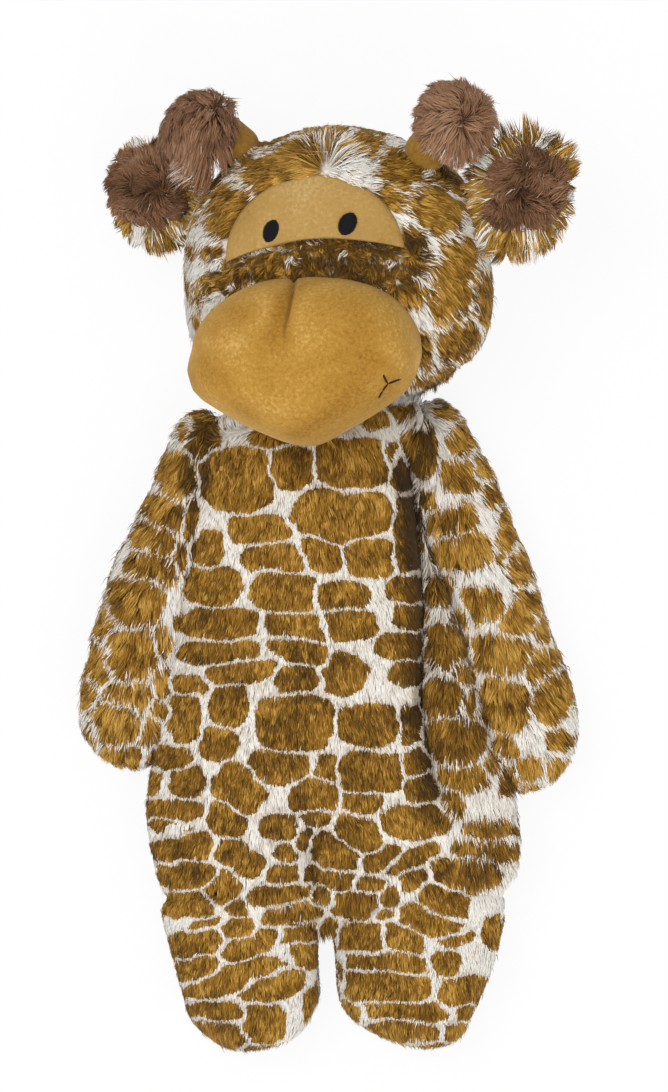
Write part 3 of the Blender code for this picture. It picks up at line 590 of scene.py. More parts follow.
def printAt(points, normals, table):
    # 1 on a brown spot, 0 on white: listed spots on the front, a scatter of the same print on the back
    soft, facing = spotPlan["soft"], spotPlan["facing"]
    flat = seenFrom(points)
    # low on the sides the print runs on round the toy, past what the camera sees
    low = np.maximum(spotPlan["wrapBelow"].get(table, 0.033) - points[:, 2], 0) * 1000
    steep = stepDown(normals[:, 2], 0.45, 0.25) * low
    flat = flat - unit(normals[:, :2] + 1e-9) * (steep * (normals[:, 2] > facing))[:, None]
    for column, size, seed in ((0, 0.009, 5), (1, 0.007, 6)):
        wave = ripple(points, size, seed) + 0.3 * ripple(points, 0.003, seed + 2)
        flat[:, column] += spotPlan["wobble"] * wave
    best = np.full(len(points), -99.0)
    second = best.copy()
    rows = list(spotTables[table])
    for other in spotTables:
        if "head" not in (table, other):
            fresh = [row for row in spotTables[other] if all(math.dist(row[:2], seen[:2]) > 5 for seen in rows)]
            rows += fresh
    front = np.nonzero(normals[:, 2] > facing)[0]
    front = front[np.argsort(flat[front, 1])]
    high = flat[front, 1]
    for across, along, halfWidth, halfHeight, *lean in rows:
        turn = math.radians(lean[0] if lean else 0)
        reach = max(halfWidth, halfHeight) * 1.3 + 3
        near = front[np.searchsorted(high, along - reach) : np.searchsorted(high, along + reach)]
        near = near[np.abs(flat[near, 0] - across) < reach]
        dx, dy = flat[near, 0] - across, flat[near, 1] - along
        u = np.abs(dx * math.cos(turn) + dy * math.sin(turn)) / halfWidth
        v = (-dx * math.sin(turn) + dy * math.cos(turn)) / halfHeight
        power = np.where(v > 0, spotPlan["topPower"], spotPlan["footPower"])
        lap = spotPlan["lap"] * np.clip(0.3 - v, -0.7, 1.3)
        value = (1 - (u**power + np.abs(v) ** power) ** (1 / power)) * min(halfWidth, halfHeight) + lap
        second[near] = np.maximum(second[near], np.minimum(best[near], value))
        best[near] = np.maximum(best[near], value)
    value = np.clip((best + spotPlan["grow"].get(table, 0.6)) / soft, 0, 1)
    value = value * np.clip((best - second - spotPlan["line"]) / soft + 1, 0, 1)
    rng = np.random.default_rng(11)
    step = spotPlan["backSpacing"]
    grid = np.array([(x, y) for x in np.arange(-160, 161, step) for y in np.arange(-260, 261, step * 0.8)])
    grid = grid + rng.uniform(-0.32, 0.32, grid.shape) * step
    behind = np.nonzero(normals[:, 2] <= facing)[0]
    for first in range(0, len(behind), 4000):
        block = behind[first : first + 4000]
        far = np.linalg.norm((flat[block, None] - grid[None]) * (1, 1.3), axis=2)
        far = np.partition(far, 1, axis=1)
        value[block] = np.clip(far[:, 1] - far[:, 0] - spotPlan["backLine"], 0, 1)
    return value


def finishPiece(piece, material, body, nodes, table=None):
    # what a piece wears, what it rides on and what it stands for
    if table == "brown":
        addValues(piece.data, "coat", np.ones(len(piece.data.vertices)))
    elif table:
        addValues(piece.data, "coat", printAt(readPoints(piece), readNormals(piece), table))
    dress(piece, material)
    rideBody(piece, body)
    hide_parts(*nodes)


def rideBody(piece, body):
    # the hip is a fold in one cloth: a leg's pieces keep their place baked into their mesh and ride on no body,
    # and every other piece rides on its body
    if body.endswith("_leg"):
        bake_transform(piece)
    else:
        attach(piece, body)


# How pile grows unless a plan says otherwise: angles in degrees, lengths in metres, shares of one
pilePlan = {
    "swing": 12, "swingSize": 0.012, "stray": 7, "trim": 0.28, "gather": 0.6, "lock": 16, "lockTone": 0.11,
    "ragged": 0.05, "looseFrom": 0.15, "flying": 0.012, "flyRise": 12, "scatter": 5, "bend": 0.6,
    "sunk": 0.0004, "flat": 0.7, "own": 0.8, "floor": (0.0003, 0.0008), "strandTone": 0.17,
    "perPiece": 33000,  # just under 200,000 triangles
}


def planned(plan, key, usual, roots, ways):
    # a plan's value at each root: one number, or worked out there
    value = plan.get(key, usual)
    return np.broadcast_to(value(roots, ways) if callable(value) else float(value), len(roots))


def plantRoots(piece, plan, rng):
    # roots spread evenly over the skin, thinner where plan says that nobody looks
    mesh = piece.data
    mesh.calc_loop_triangles()
    corners = np.empty(len(mesh.loop_triangles) * 3, np.int64)
    mesh.loop_triangles.foreach_get("vertices", corners)
    corners = corners.reshape(-1, 3)
    points, normals = readPoints(piece), readNormals(piece)
    a, b, c = (points[corners[:, index]] for index in range(3))
    areas = np.linalg.norm(np.cross(b - a, c - a), axis=1) / 2
    facing = unit(normals[corners].mean(axis=1))
    # tufts to a square metre: dense where the toy is seen from the front and sides, thin underneath
    front, back = plan["density"]
    weight = areas * ((back + (front - back) * stepUp(facing[:, 2], -0.35, 0.3)) * 1e6)
    total = weight.sum()
    count = int(total)
    places = (np.arange(count) + rng.random(count)) / count * total
    chosen = corners[np.minimum(np.searchsorted(np.cumsum(weight), places), len(corners) - 1)]
    a, b = rng.random(count), rng.random(count)
    over = a + b > 1
    a[over], b[over] = 1 - a[over], 1 - b[over]
    share = np.stack([1 - a - b, a, b], axis=1)[..., None]
    roots = (points[chosen] * share).sum(axis=1)
    ways = unit((normals[chosen] * share).sum(axis=1))
    keep = plan["keep"](roots, ways) if "keep" in plan else np.ones(count, bool)
    return roots[keep], ways[keep]


def layStrands(roots, ways, plan, rng, seed):
    # each strand leaves its root at an angle, lies down along the comb and draws to the guide of its lock
    count = len(roots)
    comb, length = plan["lay"](roots, ways)
    comb = unit(comb - ways * (comb * ways).sum(axis=1, keepdims=True))
    swing = planned(plan, "swing", 12, roots, ways) * ripple(roots, plan["swingSize"], seed)
    swing = np.radians(swing + rng.normal(0, plan["stray"], count))
    aside = np.cross(ways, comb)
    comb = comb * np.cos(swing)[:, None] + aside * np.sin(swing)[:, None]
    fly = rng.random(count) < plan["flying"]
    more, up = planned(plan, "raise", 0, roots, ways), fly * plan["flyRise"]
    rise = np.radians(plan["rootRise"] + more + rng.normal(0, plan["scatter"], count) + up)[:, None]
    lie = np.radians(plan["tipRise"] + more + rng.normal(0, plan["scatter"], count) + up)[:, None]
    edge = np.clip(1 - np.abs(ways[:, 2]) * 2.5, 0, 1)
    length = (length * rng.uniform(0.75, 1.12, count) * (1 - plan["trim"] * edge))[:, None]
    start = comb * np.cos(rise) + ways * np.sin(rise)
    finish = comb * np.cos(lie) + ways * np.sin(lie)
    if "curl" in plan:
        turn = rng.uniform(0, 2 * math.pi, count)[:, None]
        finish = unit(finish + plan["curl"] * (aside * np.cos(turn) + ways * np.sin(turn)))
    if "fall" in plan:
        finish = unit(finish + np.array(plan["fall"]))
    roots = roots - ways * plan["sunk"]
    middle = roots + start * length * 0.6
    tips = middle + finish * length * 0.4
    guides = np.arange(0, count, plan["lock"])
    tree = KDTree(len(guides))
    for index, guide in enumerate(guides):
        tree.insert(roots[guide], index)
    tree.balance()
    lockOf = np.array([tree.find(root)[1] for root in roots])
    near = guides[lockOf]
    pull = (plan["gather"] * rng.uniform(0.5, 1.2, count) * ~fly)[:, None]
    tips = tips * (1 - pull) + tips[near] * pull
    middle = middle * (1 - pull * 0.45) + middle[near] * pull * 0.45
    return roots, middle, tips, lockOf, len(guides)


def dyeStrands(roots, middle, tips, ways, plan, rng):
    # the print is dyed into the laid pile, so its edges cross the strands: where, counted from root to tip
    count, bend = len(roots), plan["bend"]
    bands = np.full((count, 2), -1.0)
    loose = rng.random(count) < planned(plan, "loose", 1.0, roots, ways)
    reach = rng.uniform(plan["looseFrom"], 0.9, count)[:, None]
    seat = np.where(loose[:, None], roots + (tips - roots) * reach, tips)
    coat = planned(plan, "coat", 1.0, seat, ways) > 0.5
    found, before = np.zeros(count, int), coat
    for share in np.linspace(0.94, 0.16, 10) if "loose" in plan else ():
        if share > bend:
            seat = middle + (tips - middle) * (share - 0.6) / 0.4
        else:
            seat = roots + (middle - roots) * share / 0.6
        now = plan["coat"](seat, ways) > 0.5
        change = (now != before) & (found < 2) & ~loose
        bands[change, found[change]] = share + 0.04
        found, before = found + change, now
    bands = bands + rng.normal(0, plan["ragged"], count)[:, None]
    coat = coat.astype(float)
    if "pale" in plan:
        coat = coat * (1 - (rng.random(count) < planned(plan, "pale", 0, roots, ways)))
    return coat, bands


def growPile(name, skin, body, plan, material, seed):
    # real strands as slim closed spindles that lie in locks, the way brushed pile does
    plan = {**pilePlan, **plan}
    rng = np.random.default_rng(seed)
    roots, ways = plantRoots(skin, plan, rng)
    roots, middle, tips, lockOf, locks = layStrands(roots, ways, plan, rng, seed)
    coat, bands = dyeStrands(roots, middle, tips, ways, plan, rng)
    count = len(roots)
    along = unit(tips - roots)
    first = unit(np.cross(along, ways) + 1e-6)
    other = np.cross(along, first) * plan["flat"]
    half = (plan["width"] / 2 * rng.uniform(0.7, 1.3, count))[:, None, None]
    angles = np.array([0, 2, 4]) * math.pi / 3
    ring = first[:, None] * np.cos(angles)[:, None] + other[:, None] * np.sin(angles)[:, None]
    points = np.concatenate([roots[:, None], middle[:, None] + ring * half, tips[:, None]], axis=1)
    # the pile's light comes mostly off the lie of the whole coat, so each strand leans to the skin's own normal
    own = np.concatenate([0 * roots[:, None], ring, 0 * tips[:, None]], axis=1)
    lift = planned(plan, "lift", 0, roots, ways)[:, None, None] * np.array((0, 0, 1))
    bends = unit(ways[:, None] + own * plan["own"] + lift).astype(np.float32)
    lowest, spread = plan["floor"]
    points[:, :, 2] = np.maximum(points[:, :, 2], (lowest + rng.random(count) * spread)[:, None])
    strand = rng.normal(0.5, plan["strandTone"], count) + rng.normal(0, plan["lockTone"], locks)[lockOf]
    # a plan's tone adds random lighter and darker, and painted shade where it darkens creases and joints
    strand = np.clip(strand + planned(plan, "tone", 0, roots, ways), 0, 1)
    firsts = range(0, count, plan["perPiece"])
    for part, first in enumerate(firsts):
        label = name if len(firsts) == 1 else f"{name}_{part + 1}"
        rows = [each[first : first + plan["perPiece"]] for each in (points, bends, coat, strand, bands)]
        rideBody(buildTufts(label, *rows, material), body)
    print(name, count, "tufts in", len(firsts))


def buildTufts(name, points, bends, coat, strand, bands, material):
    # one mesh of many tufts: a root, a ring of three points and a tip each
    count = len(points)
    faces, flat = [], []
    for k in range(3):
        after = (k + 1) % 3
        faces += [(0, 1 + after, 1 + k), (1 + k, 1 + after, 4)]
        u0, u1 = 0.06 + 0.30 * k, 0.32 + 0.30 * k
        middle = (u0 + u1) / 2
        flat += [(middle, 0.06), (u1, 0.45), (u0, 0.45), (u0, 0.52), (u1, 0.52), (middle, 0.94)]
    mesh = bpy.data.meshes.new(name)
    mesh.vertices.add(count * 5)
    mesh.vertices.foreach_set("co", points.reshape(-1))
    corners = (np.array(faces).reshape(-1)[None] + 5 * np.arange(count)[:, None]).reshape(-1)
    mesh.loops.add(len(corners))
    mesh.loops.foreach_set("vertex_index", corners)
    mesh.polygons.add(count * 6)
    mesh.polygons.foreach_set("loop_start", np.arange(0, len(corners), 3))
    mesh.update(calc_edges=True)
    # each tuft has its own cell of the bake map
    cells = math.ceil(math.sqrt(count))
    cell = np.stack([np.arange(count) % cells, np.arange(count) // cells], axis=1)[:, None]
    layer = mesh.uv_layers.new(name="OFBake", do_init=False)
    layer.data.foreach_set("uv", ((np.array(flat)[None] + cell) / cells).reshape(-1))
    tufts = {"coat": coat, "strand": strand, "bandTop": bands[:, 0], "bandFoot": bands[:, 1]}
    for label, values in tufts.items():
        addValues(mesh, label, np.repeat(values, 5).astype(np.float32))
    addValues(mesh, "tipwards", np.tile(np.float32([0, 0.6, 0.6, 0.6, 1.0]), count))
    piece = makeObject(name, mesh)
    mesh.normals_split_custom_set_from_vertices(bends.reshape(-1, 3))
    dress(piece, material)
    return piece


def underneath(ways, share):
    # pile is shorter under the toy
    return np.where(ways[:, 2] < -0.3, share, 1.0)


def lineDistance(flat, line):
    # signed distance to a polyline in the flat frame, in mm, and how far along it, 0 to 1
    best, side, where = np.full(len(flat), 1e9), np.ones(len(flat)), np.zeros(len(flat))
    count = len(line) - 1
    for index in range(count):
        a, b = np.array(line[index], float), np.array(line[index + 1], float)
        way = b - a
        part = np.clip(((flat - a) @ way) / (way @ way), 0, 1)
        gap = flat - (a + part[:, None] * way)
        far = np.linalg.norm(gap, axis=1)
        closer = far < best
        best = np.where(closer, far, best)
        side = np.where(closer, np.sign(way[0] * gap[:, 1] - way[1] * gap[:, 0]), side)
        where = np.where(closer, (index + part) / count, where)
    return best * side, where


bodyPlan = {
    "inset": 0.0020, "foldDepth": 0.0125, "foldWidth": 4.0, "lip": 0.0026, "flank": 0.0016,
    "foldA": ((36.0, 64.0), (40.7, 31.3), (45.3, -15.4), (44.4, -63.1), (49.6, -94.9), (53.3, -108.5)),
    "foldB": ((62.6, -21.5), (71.1, -57.1), (79.0, -88.8)),
    "crotch": ((-9.0, -126.0), (-6.6, -148.7), (-3.3, -173.9)), "crotchDepth": 0.0100, "crotchWidth": 5.0,
    "shoulderRaise": 0.0102, "seatDraw": 0.0018, "flapPile": 0.0104, "bellyPile": 0.0066,
}
bodyForm = stuffedForm(
    (-0.0070, 0.0730, 0.0240), (0.0050, -0.1720, 0.0240), (0.2450, 0.0120, 0), 0.0860, 0.0245, 0.0260, 0.0300,
    widthShares=(0.66, 0.62, 0.73, 0.90, 1.02, 1.00), depthShares=(0.80, 0.88, 0.96, 1.00, 1.00, 0.97),
    bendShares=(0.03, -0.06, -0.065, -0.03, -0.025, 0.0), endPower=2.3,
)
neckCentre = Vector((-0.0040, 0.0760, 0.0270))
shoulders = {"left": Vector((-0.0560, 0.0570, 0.0175)), "right": Vector((0.0465, 0.0625, 0.0175))}
shoulderRadius = 0.0115
seamGap = 0.0006
armPlan = {
    "inset": 0.0023, "flank": 0.0018, "outer": {"left": 0.0036, "right": 0.0026}, "pile": 0.0112,
    "hand": {"left": (-0.0990, -0.0956, 0.0175), "right": (0.0975, -0.1057, 0.0175)},
    "halfWidth": {"left": 0.0205, "right": 0.0220},
    "width": {"left": (0.56, 0.66, 0.76, 0.94, 1.02, 0.98), "right": (0.53, 0.75, 0.82, 0.90, 1.02, 0.98)},
    "bow": {"left": (0, 0.08, 0.26, 0.36, 0.24, 0), "right": (0, 0.10, 0.20, 0.27, 0.20, 0)},
}
legPlan = {
    "inset": 0.0019, "hipBulge": 0.0030, "drawOuter": 0.0024, "drawInner": {"left": 0.0004, "right": 0.0020},
    "toes": {"left": 0.0040, "right": 0.0050}, "pile": 0.0058,
    "hip": {"left": (-0.0425, -0.1460, 0.0220), "right": (0.0385, -0.1460, 0.0220)},
    "foot": {"left": (-0.0350, -0.2286, 0.0220), "right": (0.0412, -0.2275, 0.0220)},
    "halfWidth": {"left": 0.0360, "right": 0.0410},
    "width": {"left": (1.0, 1.0, 0.95, 0.90, 0.84), "right": (1.0, 1.0, 0.92, 0.83, 0.77)},
}


def armForm(side):
    shoulder, hand = shoulders[side], Vector(armPlan["hand"][side])
    axis = (hand - shoulder).normalized()
    outward = Vector((-axis.y, axis.x, 0))
    if outward.x * shoulder.x < 0:
        outward = -outward
    return stuffedForm(
        shoulder - axis * shoulderRadius, hand, outward, armPlan["halfWidth"][side], 0.0180, shoulderRadius,
        0.0210, widthShares=armPlan["width"][side], depthShares=(0.64, 0.76, 0.90, 1.0, 1.0, 0.94),
        bendShares=armPlan["bow"][side],
    )


def legForm(side):
    hip, foot = Vector(legPlan["hip"][side]), Vector(legPlan["foot"][side])
    axis = (foot - hip).normalized()
    return stuffedForm(
        hip, foot, (-axis.y, axis.x, 0), legPlan["halfWidth"][side], 0.0225, 0.0140, 0.0240,
        widthShares=legPlan["width"][side], depthShares=(1.0, 1.0, 1.0, 0.98, 0.95),
    )


armForms = {side: armForm(side) for side in sides}
legForms = {side: legForm(side) for side in sides}
floorGap = 0.0012  # no strand roots below this


def foldIn(piece, line, depth, width, lip):
    # presses a crease into the front of a skin, with a soft roll of cloth on its outer side
    points, normals = readPoints(piece), readNormals(piece)
    gap, where = lineDistance(seenFrom(points), line)
    front = np.clip(normals[:, 2] * 2, 0, 1) * np.clip(np.minimum(where, 1 - where) * 6 + 0.25, 0, 1)
    points[:, 2] -= depth * hump(gap, 0, width) * front
    points[:, 2] += lip * hump(gap, 2.6 * width, 1.8 * width) * front
    writePoints(piece, points)


def makeBody():
    skin = skinOf("bodySkin", bodyForm, bodyPlan["inset"], 144, 16, 84)
    puff(skin, 0.055, 0.0009, 21)
    points, normals = readPoints(skin), readNormals(skin)
    beside = stepUp(points[:, 1], -0.090, 0.02) * np.clip(np.abs(normals[:, 0]) * 2 - 0.6, 0, 1)
    points = points + normals * (bodyPlan["flank"] * beside)[:, None]
    # the right shoulder is bunched up to the chin, and the seat draws in to the legs
    bunched = bodyPlan["shoulderRaise"] * stepUp(points[:, 1], 0.056, 0.016)
    points[:, 1] += bunched * stepUp(points[:, 0], 0.012, 0.016)
    seat = stepDown(points[:, 1], -0.112, 0.025)
    drawn = np.sign(points[:, 0]) * bodyPlan["seatDraw"] * seat
    points[:, 0] -= drawn * np.clip(np.abs(points[:, 0]) / 0.06 - 0.3, 0, 1)
    writePoints(skin, points)
    depth, width = bodyPlan["foldDepth"], bodyPlan["foldWidth"]
    foldIn(skin, bodyPlan["foldA"], depth, width, bodyPlan["lip"])
    foldIn(skin, bodyPlan["foldB"], depth * 0.7, width, 0.0)
    foldIn(skin, bodyPlan["crotch"], bodyPlan["crotchDepth"], bodyPlan["crotchWidth"], 0.0)
    tools = [makeBall("seatTool", neckCentre + toyShift, 0.0225)]
    for place in shoulders.values():
        tools.append(makeBall("seatTool", place + toyShift, shoulderRadius + seamGap))
    cutAway(skin, tools)
    finishPiece(skin, knit, "body", ("body_cover", "body_stuffing"), "body")

    def shoulderTop(roots, ways):
        return np.clip(ways[:, 1] * 2.5 - 0.8, 0, 1) * (roots[:, 1] > 0.055)

    def lay(roots, ways):
        x, y = seenFrom(roots).T
        gapA, gapB = (lineDistance(seenFrom(roots), bodyPlan[key])[0] for key in ("foldA", "foldB"))
        flap, top, hip = gapA > 0, shoulderTop(roots, ways), stepDown(y, -144, 8)
        across = np.where(flap, (x - 60) / 22 * 0.45, (x + 20) / 260) - stepDown(x, -72, 20) * 0.35
        comb = np.stack([across * (1 - hip), -np.ones(len(x)) + 2.4 * top, np.zeros(len(x))], axis=1)
        length = np.where(flap, bodyPlan["flapPile"], bodyPlan["bellyPile"])
        length = length * (1 - 0.12 * stepDown(y, -125, 25) * (1 - stepUp(x, 55, 15)))
        length = length * np.clip(0.60 + np.minimum(np.abs(gapA), np.abs(gapB)) / 7, 0, 1)
        length = length + hip * (0.0030 + 0.0035 * hump(x, -4, 9)) + 0.0030 * top
        return comb, length * underneath(ways, 0.8)

    def lifted(roots, ways):
        # the body's lowest pile lies straight out over the tops of the legs
        return 30 * stepDown(roots[:, 1], -0.1415, 0.012) * (ways[:, 2] > 0) + 24 * shoulderTop(roots, ways)

    def tone(roots, ways):
        # painted shade: the pile is darker where cloth folds under at fold A and the crotch, next to the arms and
        # in the shade of the chin; it is also a little darker on the flap and lower down the belly, and ripples
        # lighter and darker at random
        flat = seenFrom(roots)
        gapA, whereA = lineDistance(flat, bodyPlan["foldA"])
        foldShade = hump(gapA, -4, 6.5) * np.interp(whereA, (0, 0.15, 0.45, 1), (0.4, 1.1, 0.9, 0.35))
        # painted shade next to the arms
        under = insideAny(roots, armForms.values(), -0.0035)
        chin = hump(np.hypot(flat[:, 0] + 12, flat[:, 1] - 58), 0, 16) * 0.3
        middle = 0.14 * stepDown(flat[:, 1], 20, 60) * (gapA < 0)
        # painted shade along the crotch crease; the flap is also made a little darker
        chin = chin + 0.7 * hump(lineDistance(flat, bodyPlan["crotch"])[0], 0, 3.0) + 0.16 * (gapA > 0)
        return 0.06 - (foldShade + chin) * 0.8 - 0.42 * under - middle + 0.10 * ripple(roots, 0.014, 22)

    def keep(roots, ways):
        gone = insideAny(roots, armForms.values(), 0.004) | insideAny(roots, legForms.values(), 0.0002)
        return (roots[:, 2] > floorGap) & ~gone

    def loose(roots, ways):
        return 0.12 + 0.45 * (lineDistance(seenFrom(roots), bodyPlan["foldA"])[0] > 0)

    growPile("bodyPile", skin, "body", {
        "density": (2.6, 0.34), "keep": keep, "lay": lay, "tone": tone, "raise": lifted, "width": 0.00054,
        "rootRise": 27, "tipRise": 2, "gather": 0.46, "lock": 20, "loose": loose, "looseFrom": 0.45,
        "lift": lambda roots, ways: 0.8 * stepDown(roots[:, 1], -0.140, 0.01),
        "coat": lambda seat, ways: printAt(seat, ways, "body"),
    }, plush, 101)


def makeArm(side, seed):
    form, body, table = armForms[side], side + "_arm", side + "Arm"
    axis, length = axisOf(form)
    start, sideWay = np.array(form["start"] + toyShift), np.array(form["side"])
    skin = skinOf(side + "ArmSkin", form, armPlan["inset"], 72, 10, 60)
    puff(skin, 0.035, 0.0009, seed)
    points, normals = readPoints(skin), readNormals(skin)
    beside = np.clip(-(normals @ sideWay) * 2 - 0.4, 0, 1)
    along = (points - start) @ axis / length
    outer = np.clip(normals @ sideWay, 0, 1) * stepDown(along, 0.62, 0.2) * armPlan["outer"][side]
    writePoints(skin, points + normals * (armPlan["flank"] * beside)[:, None] + sideWay * outer[:, None])
    trunk = skinOf("trunkTool", bodyForm, 0.0012, 96, 12, 40)
    cutAway(trunk, [makeBall("seatTool", shoulders[side] + toyShift, shoulderRadius)])
    cutAway(skin, [trunk])
    finishPiece(skin, knit, body, (body + "_cover", body + "_stuffing"), table)

    def lay(roots, ways):
        along = (roots - start) @ axis / length
        bend = form["halfWidth"] * shareAt(form["bendShares"], along)
        across = ((roots - start) @ sideWay - bend) / form["halfWidth"]
        comb = axis[None] * (1 - 0.9 * stepDown(along, 0.09, 0.05))[:, None]
        comb = comb + sideWay[None] * (across * 0.70)[:, None]
        return comb, armPlan["pile"] * np.clip(0.65 + along * 5, 0, 1) * underneath(ways, 0.8)

    def tone(roots, ways):
        # painted shade: the pile is darker next to the body, and ripples lighter and darker at random
        return 0.08 - 0.42 * insideAny(roots, [bodyForm], -0.0035) + 0.10 * ripple(roots, 0.014, 23)

    growPile(side + "ArmPile", skin, body, {
        "density": (2.4, 0.36), "lay": lay, "tone": tone, "width": 0.00054, "rootRise": 28, "tipRise": 1,
        "gather": 0.66, "lock": 28, "lockTone": 0.15, "trim": 0.05, "ragged": 0.07, "loose": 0.40,
        "looseFrom": 0.45, "coat": lambda seat, ways: printAt(seat, ways, table),
        "keep": lambda roots, ways: (roots[:, 2] > floorGap) & ~insideAny(roots, [bodyForm], 0.0016),
    }, plush, seed)


def makeLeg(side, seed):
    form, body, table = legForms[side], side + "_leg", side + "Leg"
    skin = skinOf(side + "LegSkin", form, legPlan["inset"], 96, 12, 24)
    puff(skin, 0.04, 0.0008, seed)
    points, normals = readPoints(skin), readNormals(skin)
    away = np.sign(points[:, 0])
    outer = np.clip(normals[:, 0] * away, 0, 1) * stepDown(points[:, 1], -0.180, 0.02)
    inner = np.clip(-normals[:, 0] * away, 0, 1) * stepDown(points[:, 1], -0.175, 0.02)
    points[:, 0] -= away * (legPlan["drawOuter"] * outer + legPlan["drawInner"][side] * inner)
    hip = np.clip(normals[:, 0] * np.sign(points[:, 0]), 0, 1) * hump(points[:, 1], -0.163, 0.012)
    points[:, 0] += np.sign(points[:, 0]) * legPlan["hipBulge"] * hip
    # the left foot bulges on its right side only, the right foot leans over whole
    facing = np.clip(normals[:, 0] + 0.2, 0, 1) if side == "left" else 1
    points[:, 0] += stepDown(points[:, 1], -0.208, 0.012) * (legPlan["toes"][side] * facing)
    writePoints(skin, points)
    cutAway(skin, [skinOf("trunkTool", bodyForm, 0.0022, 96, 12, 40)])
    finishPiece(skin, knit, body, (body + "_cover", body + "_stuffing"), table)

    def lay(roots, ways):
        x, y = seenFrom(roots).T
        comb = np.stack([(roots[:, 0] - form["end"].x) * 4, -np.ones(len(x)), np.zeros(len(x))], axis=1)
        outer = stepUp(x, 62, 10) * stepUp(y, -205, 15)
        length = (legPlan["pile"] + 0.0016 * outer) * (1 - 0.25 * stepUp(y, -174, 12))
        return comb, length + 0.0034 * stepDown(y, -204, 12)

    growPile(side + "LegPile", skin, body, {
        "density": (2.4, 0.4), "lay": lay, "width": 0.00052, "rootRise": 30, "tipRise": 5, "gather": 0.36,
        "lock": 14, "loose": 0.12, "looseFrom": 0.45, "trim": 0.18,
        "raise": lambda roots, ways: -20 * stepUp(roots[:, 1], -0.170, 0.012),
        "lift": lambda roots, ways: 0.5 * stepUp(roots[:, 1], -0.165, 0.01),
        "tone": lambda roots, ways: 0.12 * ripple(roots, 0.014, 24) + 0.01,
        "coat": lambda seat, ways: printAt(seat, ways, table),
        "keep": lambda roots, ways: (roots[:, 2] > floorGap) & ~insideAny(roots, [bodyForm], 0.0030),
    }, plush, seed)


makeBody()
print("body done")
for side, seed in zip(sides, (201, 202)):
    makeArm(side, seed)
    makeLeg(side, seed + 10)
print("arms and legs done")


headPlan = {
    "half": (0.0710, 0.0620, 0.0520),
    "inset": 0.0022,
    "patchHalf": 0.0425, "patchLow": 0.0004, "patchHigh": 0.0370, "brow": 0.0070,
    "whorl": (-1.4, 185.6),
}
headForm = stuffedForm(
    (0, -0.0620, 0), (0, 0.0620, 0), (1, 0, 0), 0.0710, 0.0520, 0.0620, 0.0620,
    widthShares=(1.20, 1.06, 1.0, 1.0, 1.0), depthShares=(0.70, 0.94, 1.0, 1.0, 1.0), rootPower=2.6,
)
headTurn, headRoll = math.radians(15.0), math.radians(4.5)
headRise = math.hypot(0.0710 * math.sin(headTurn), 0.0520 * math.cos(headTurn)) - 0.0005
headPlace = (
    Matrix.Translation(toyShift) @ Matrix.Translation((0.0030, 0.1376, headRise))
    @ Matrix.Rotation(headRoll, 4, "Z") @ Matrix.Rotation(-headTurn, 4, "Y")
)


def intoHead(points):
    back = np.array(headPlace.inverted())
    return points @ back[:3, :3].T + back[:3, 3]


def onHead(direction):
    reach = math.sqrt(sum((part / radius) ** 2 for part, radius in zip(direction, headPlan["half"])))
    return Vector(direction) / reach


hornPlan = {
    "radius": 0.0100, "raise": 0.0050, "tipAlong": 0.0210,
    "sag": {"left": 0.0046, "right": 0.0012}, "pile": {"left": 0.0150, "right": 0.0125},
    "pale": {"left": 0.75, "right": 0.10}, "tone": {"left": -0.14, "right": 0.0},
    "hang": {"left": 0.7, "right": 0.3}, "tail": {"left": 0.0150, "right": 0.0},
    "whorl": {"left": (0.0090, 0.0105, 0.0060), "right": (0.0040, -0.0010, 0.0130)},
    "root": {"left": (-0.50, 0.74, 0.16), "right": (0.66, 0.58, 0.22)},
    "way": {"left": (-0.64, 0.64, 0.28), "right": (0.74, 0.60, 0.28)},
}


def hornPlaces(side):
    way = Vector(hornPlan["way"][side]).normalized()
    return onHead(hornPlan["root"][side]) + way * hornPlan["raise"], way


muzzleForm = stuffedForm(
    (-0.0068, -0.0462, 0), (-0.0068, -0.0462, 0.0800), (1, 0, 0), 0.0530, 0.0385, 0.0350, 0.0420,
    upperPower=0.80, lowerPower=1.40, endPower=2.3, flipDepth=True,
)


def browEdge(x):
    return headPlan["patchLow"] + headPlan["brow"] * (1 - (x / headPlan["patchHalf"]) ** 2)


def patchGap(x, y):
    # below 1 inside the forehead patch, in the head's own frame
    dome = np.hypot(x / headPlan["patchHalf"], np.maximum(y - headPlan["patchLow"], 0) / headPlan["patchHigh"])
    return np.where(y > browEdge(x), dome, 2.0)


def makeNeck():
    centre = neckCentre + toyShift
    skin = makeBall("neckSkin", centre, 0.0186)
    puff(skin, 0.02, 0.0005, 31)
    skin.data.shade_smooth()
    finishPiece(skin, knit, "neck", ("neck_cover", "neck_stuffing"), "body")
    growPile("neckPile", skin, "neck", {
        "density": (1.8, 0.8), "width": 0.0006, "rootRise": 30, "tipRise": 8,
        "keep": lambda roots, ways: np.abs(roots[:, 1] - centre.y) < 0.0135,
        "lay": lambda roots, ways: (np.tile([0.0, -1.0, 0.0], (len(roots), 1)), np.full(len(roots), 0.0080)),
        "coat": lambda seat, ways: (ripple(seat, 0.018, 91) > -0.2).astype(float),
    }, plush, 31)


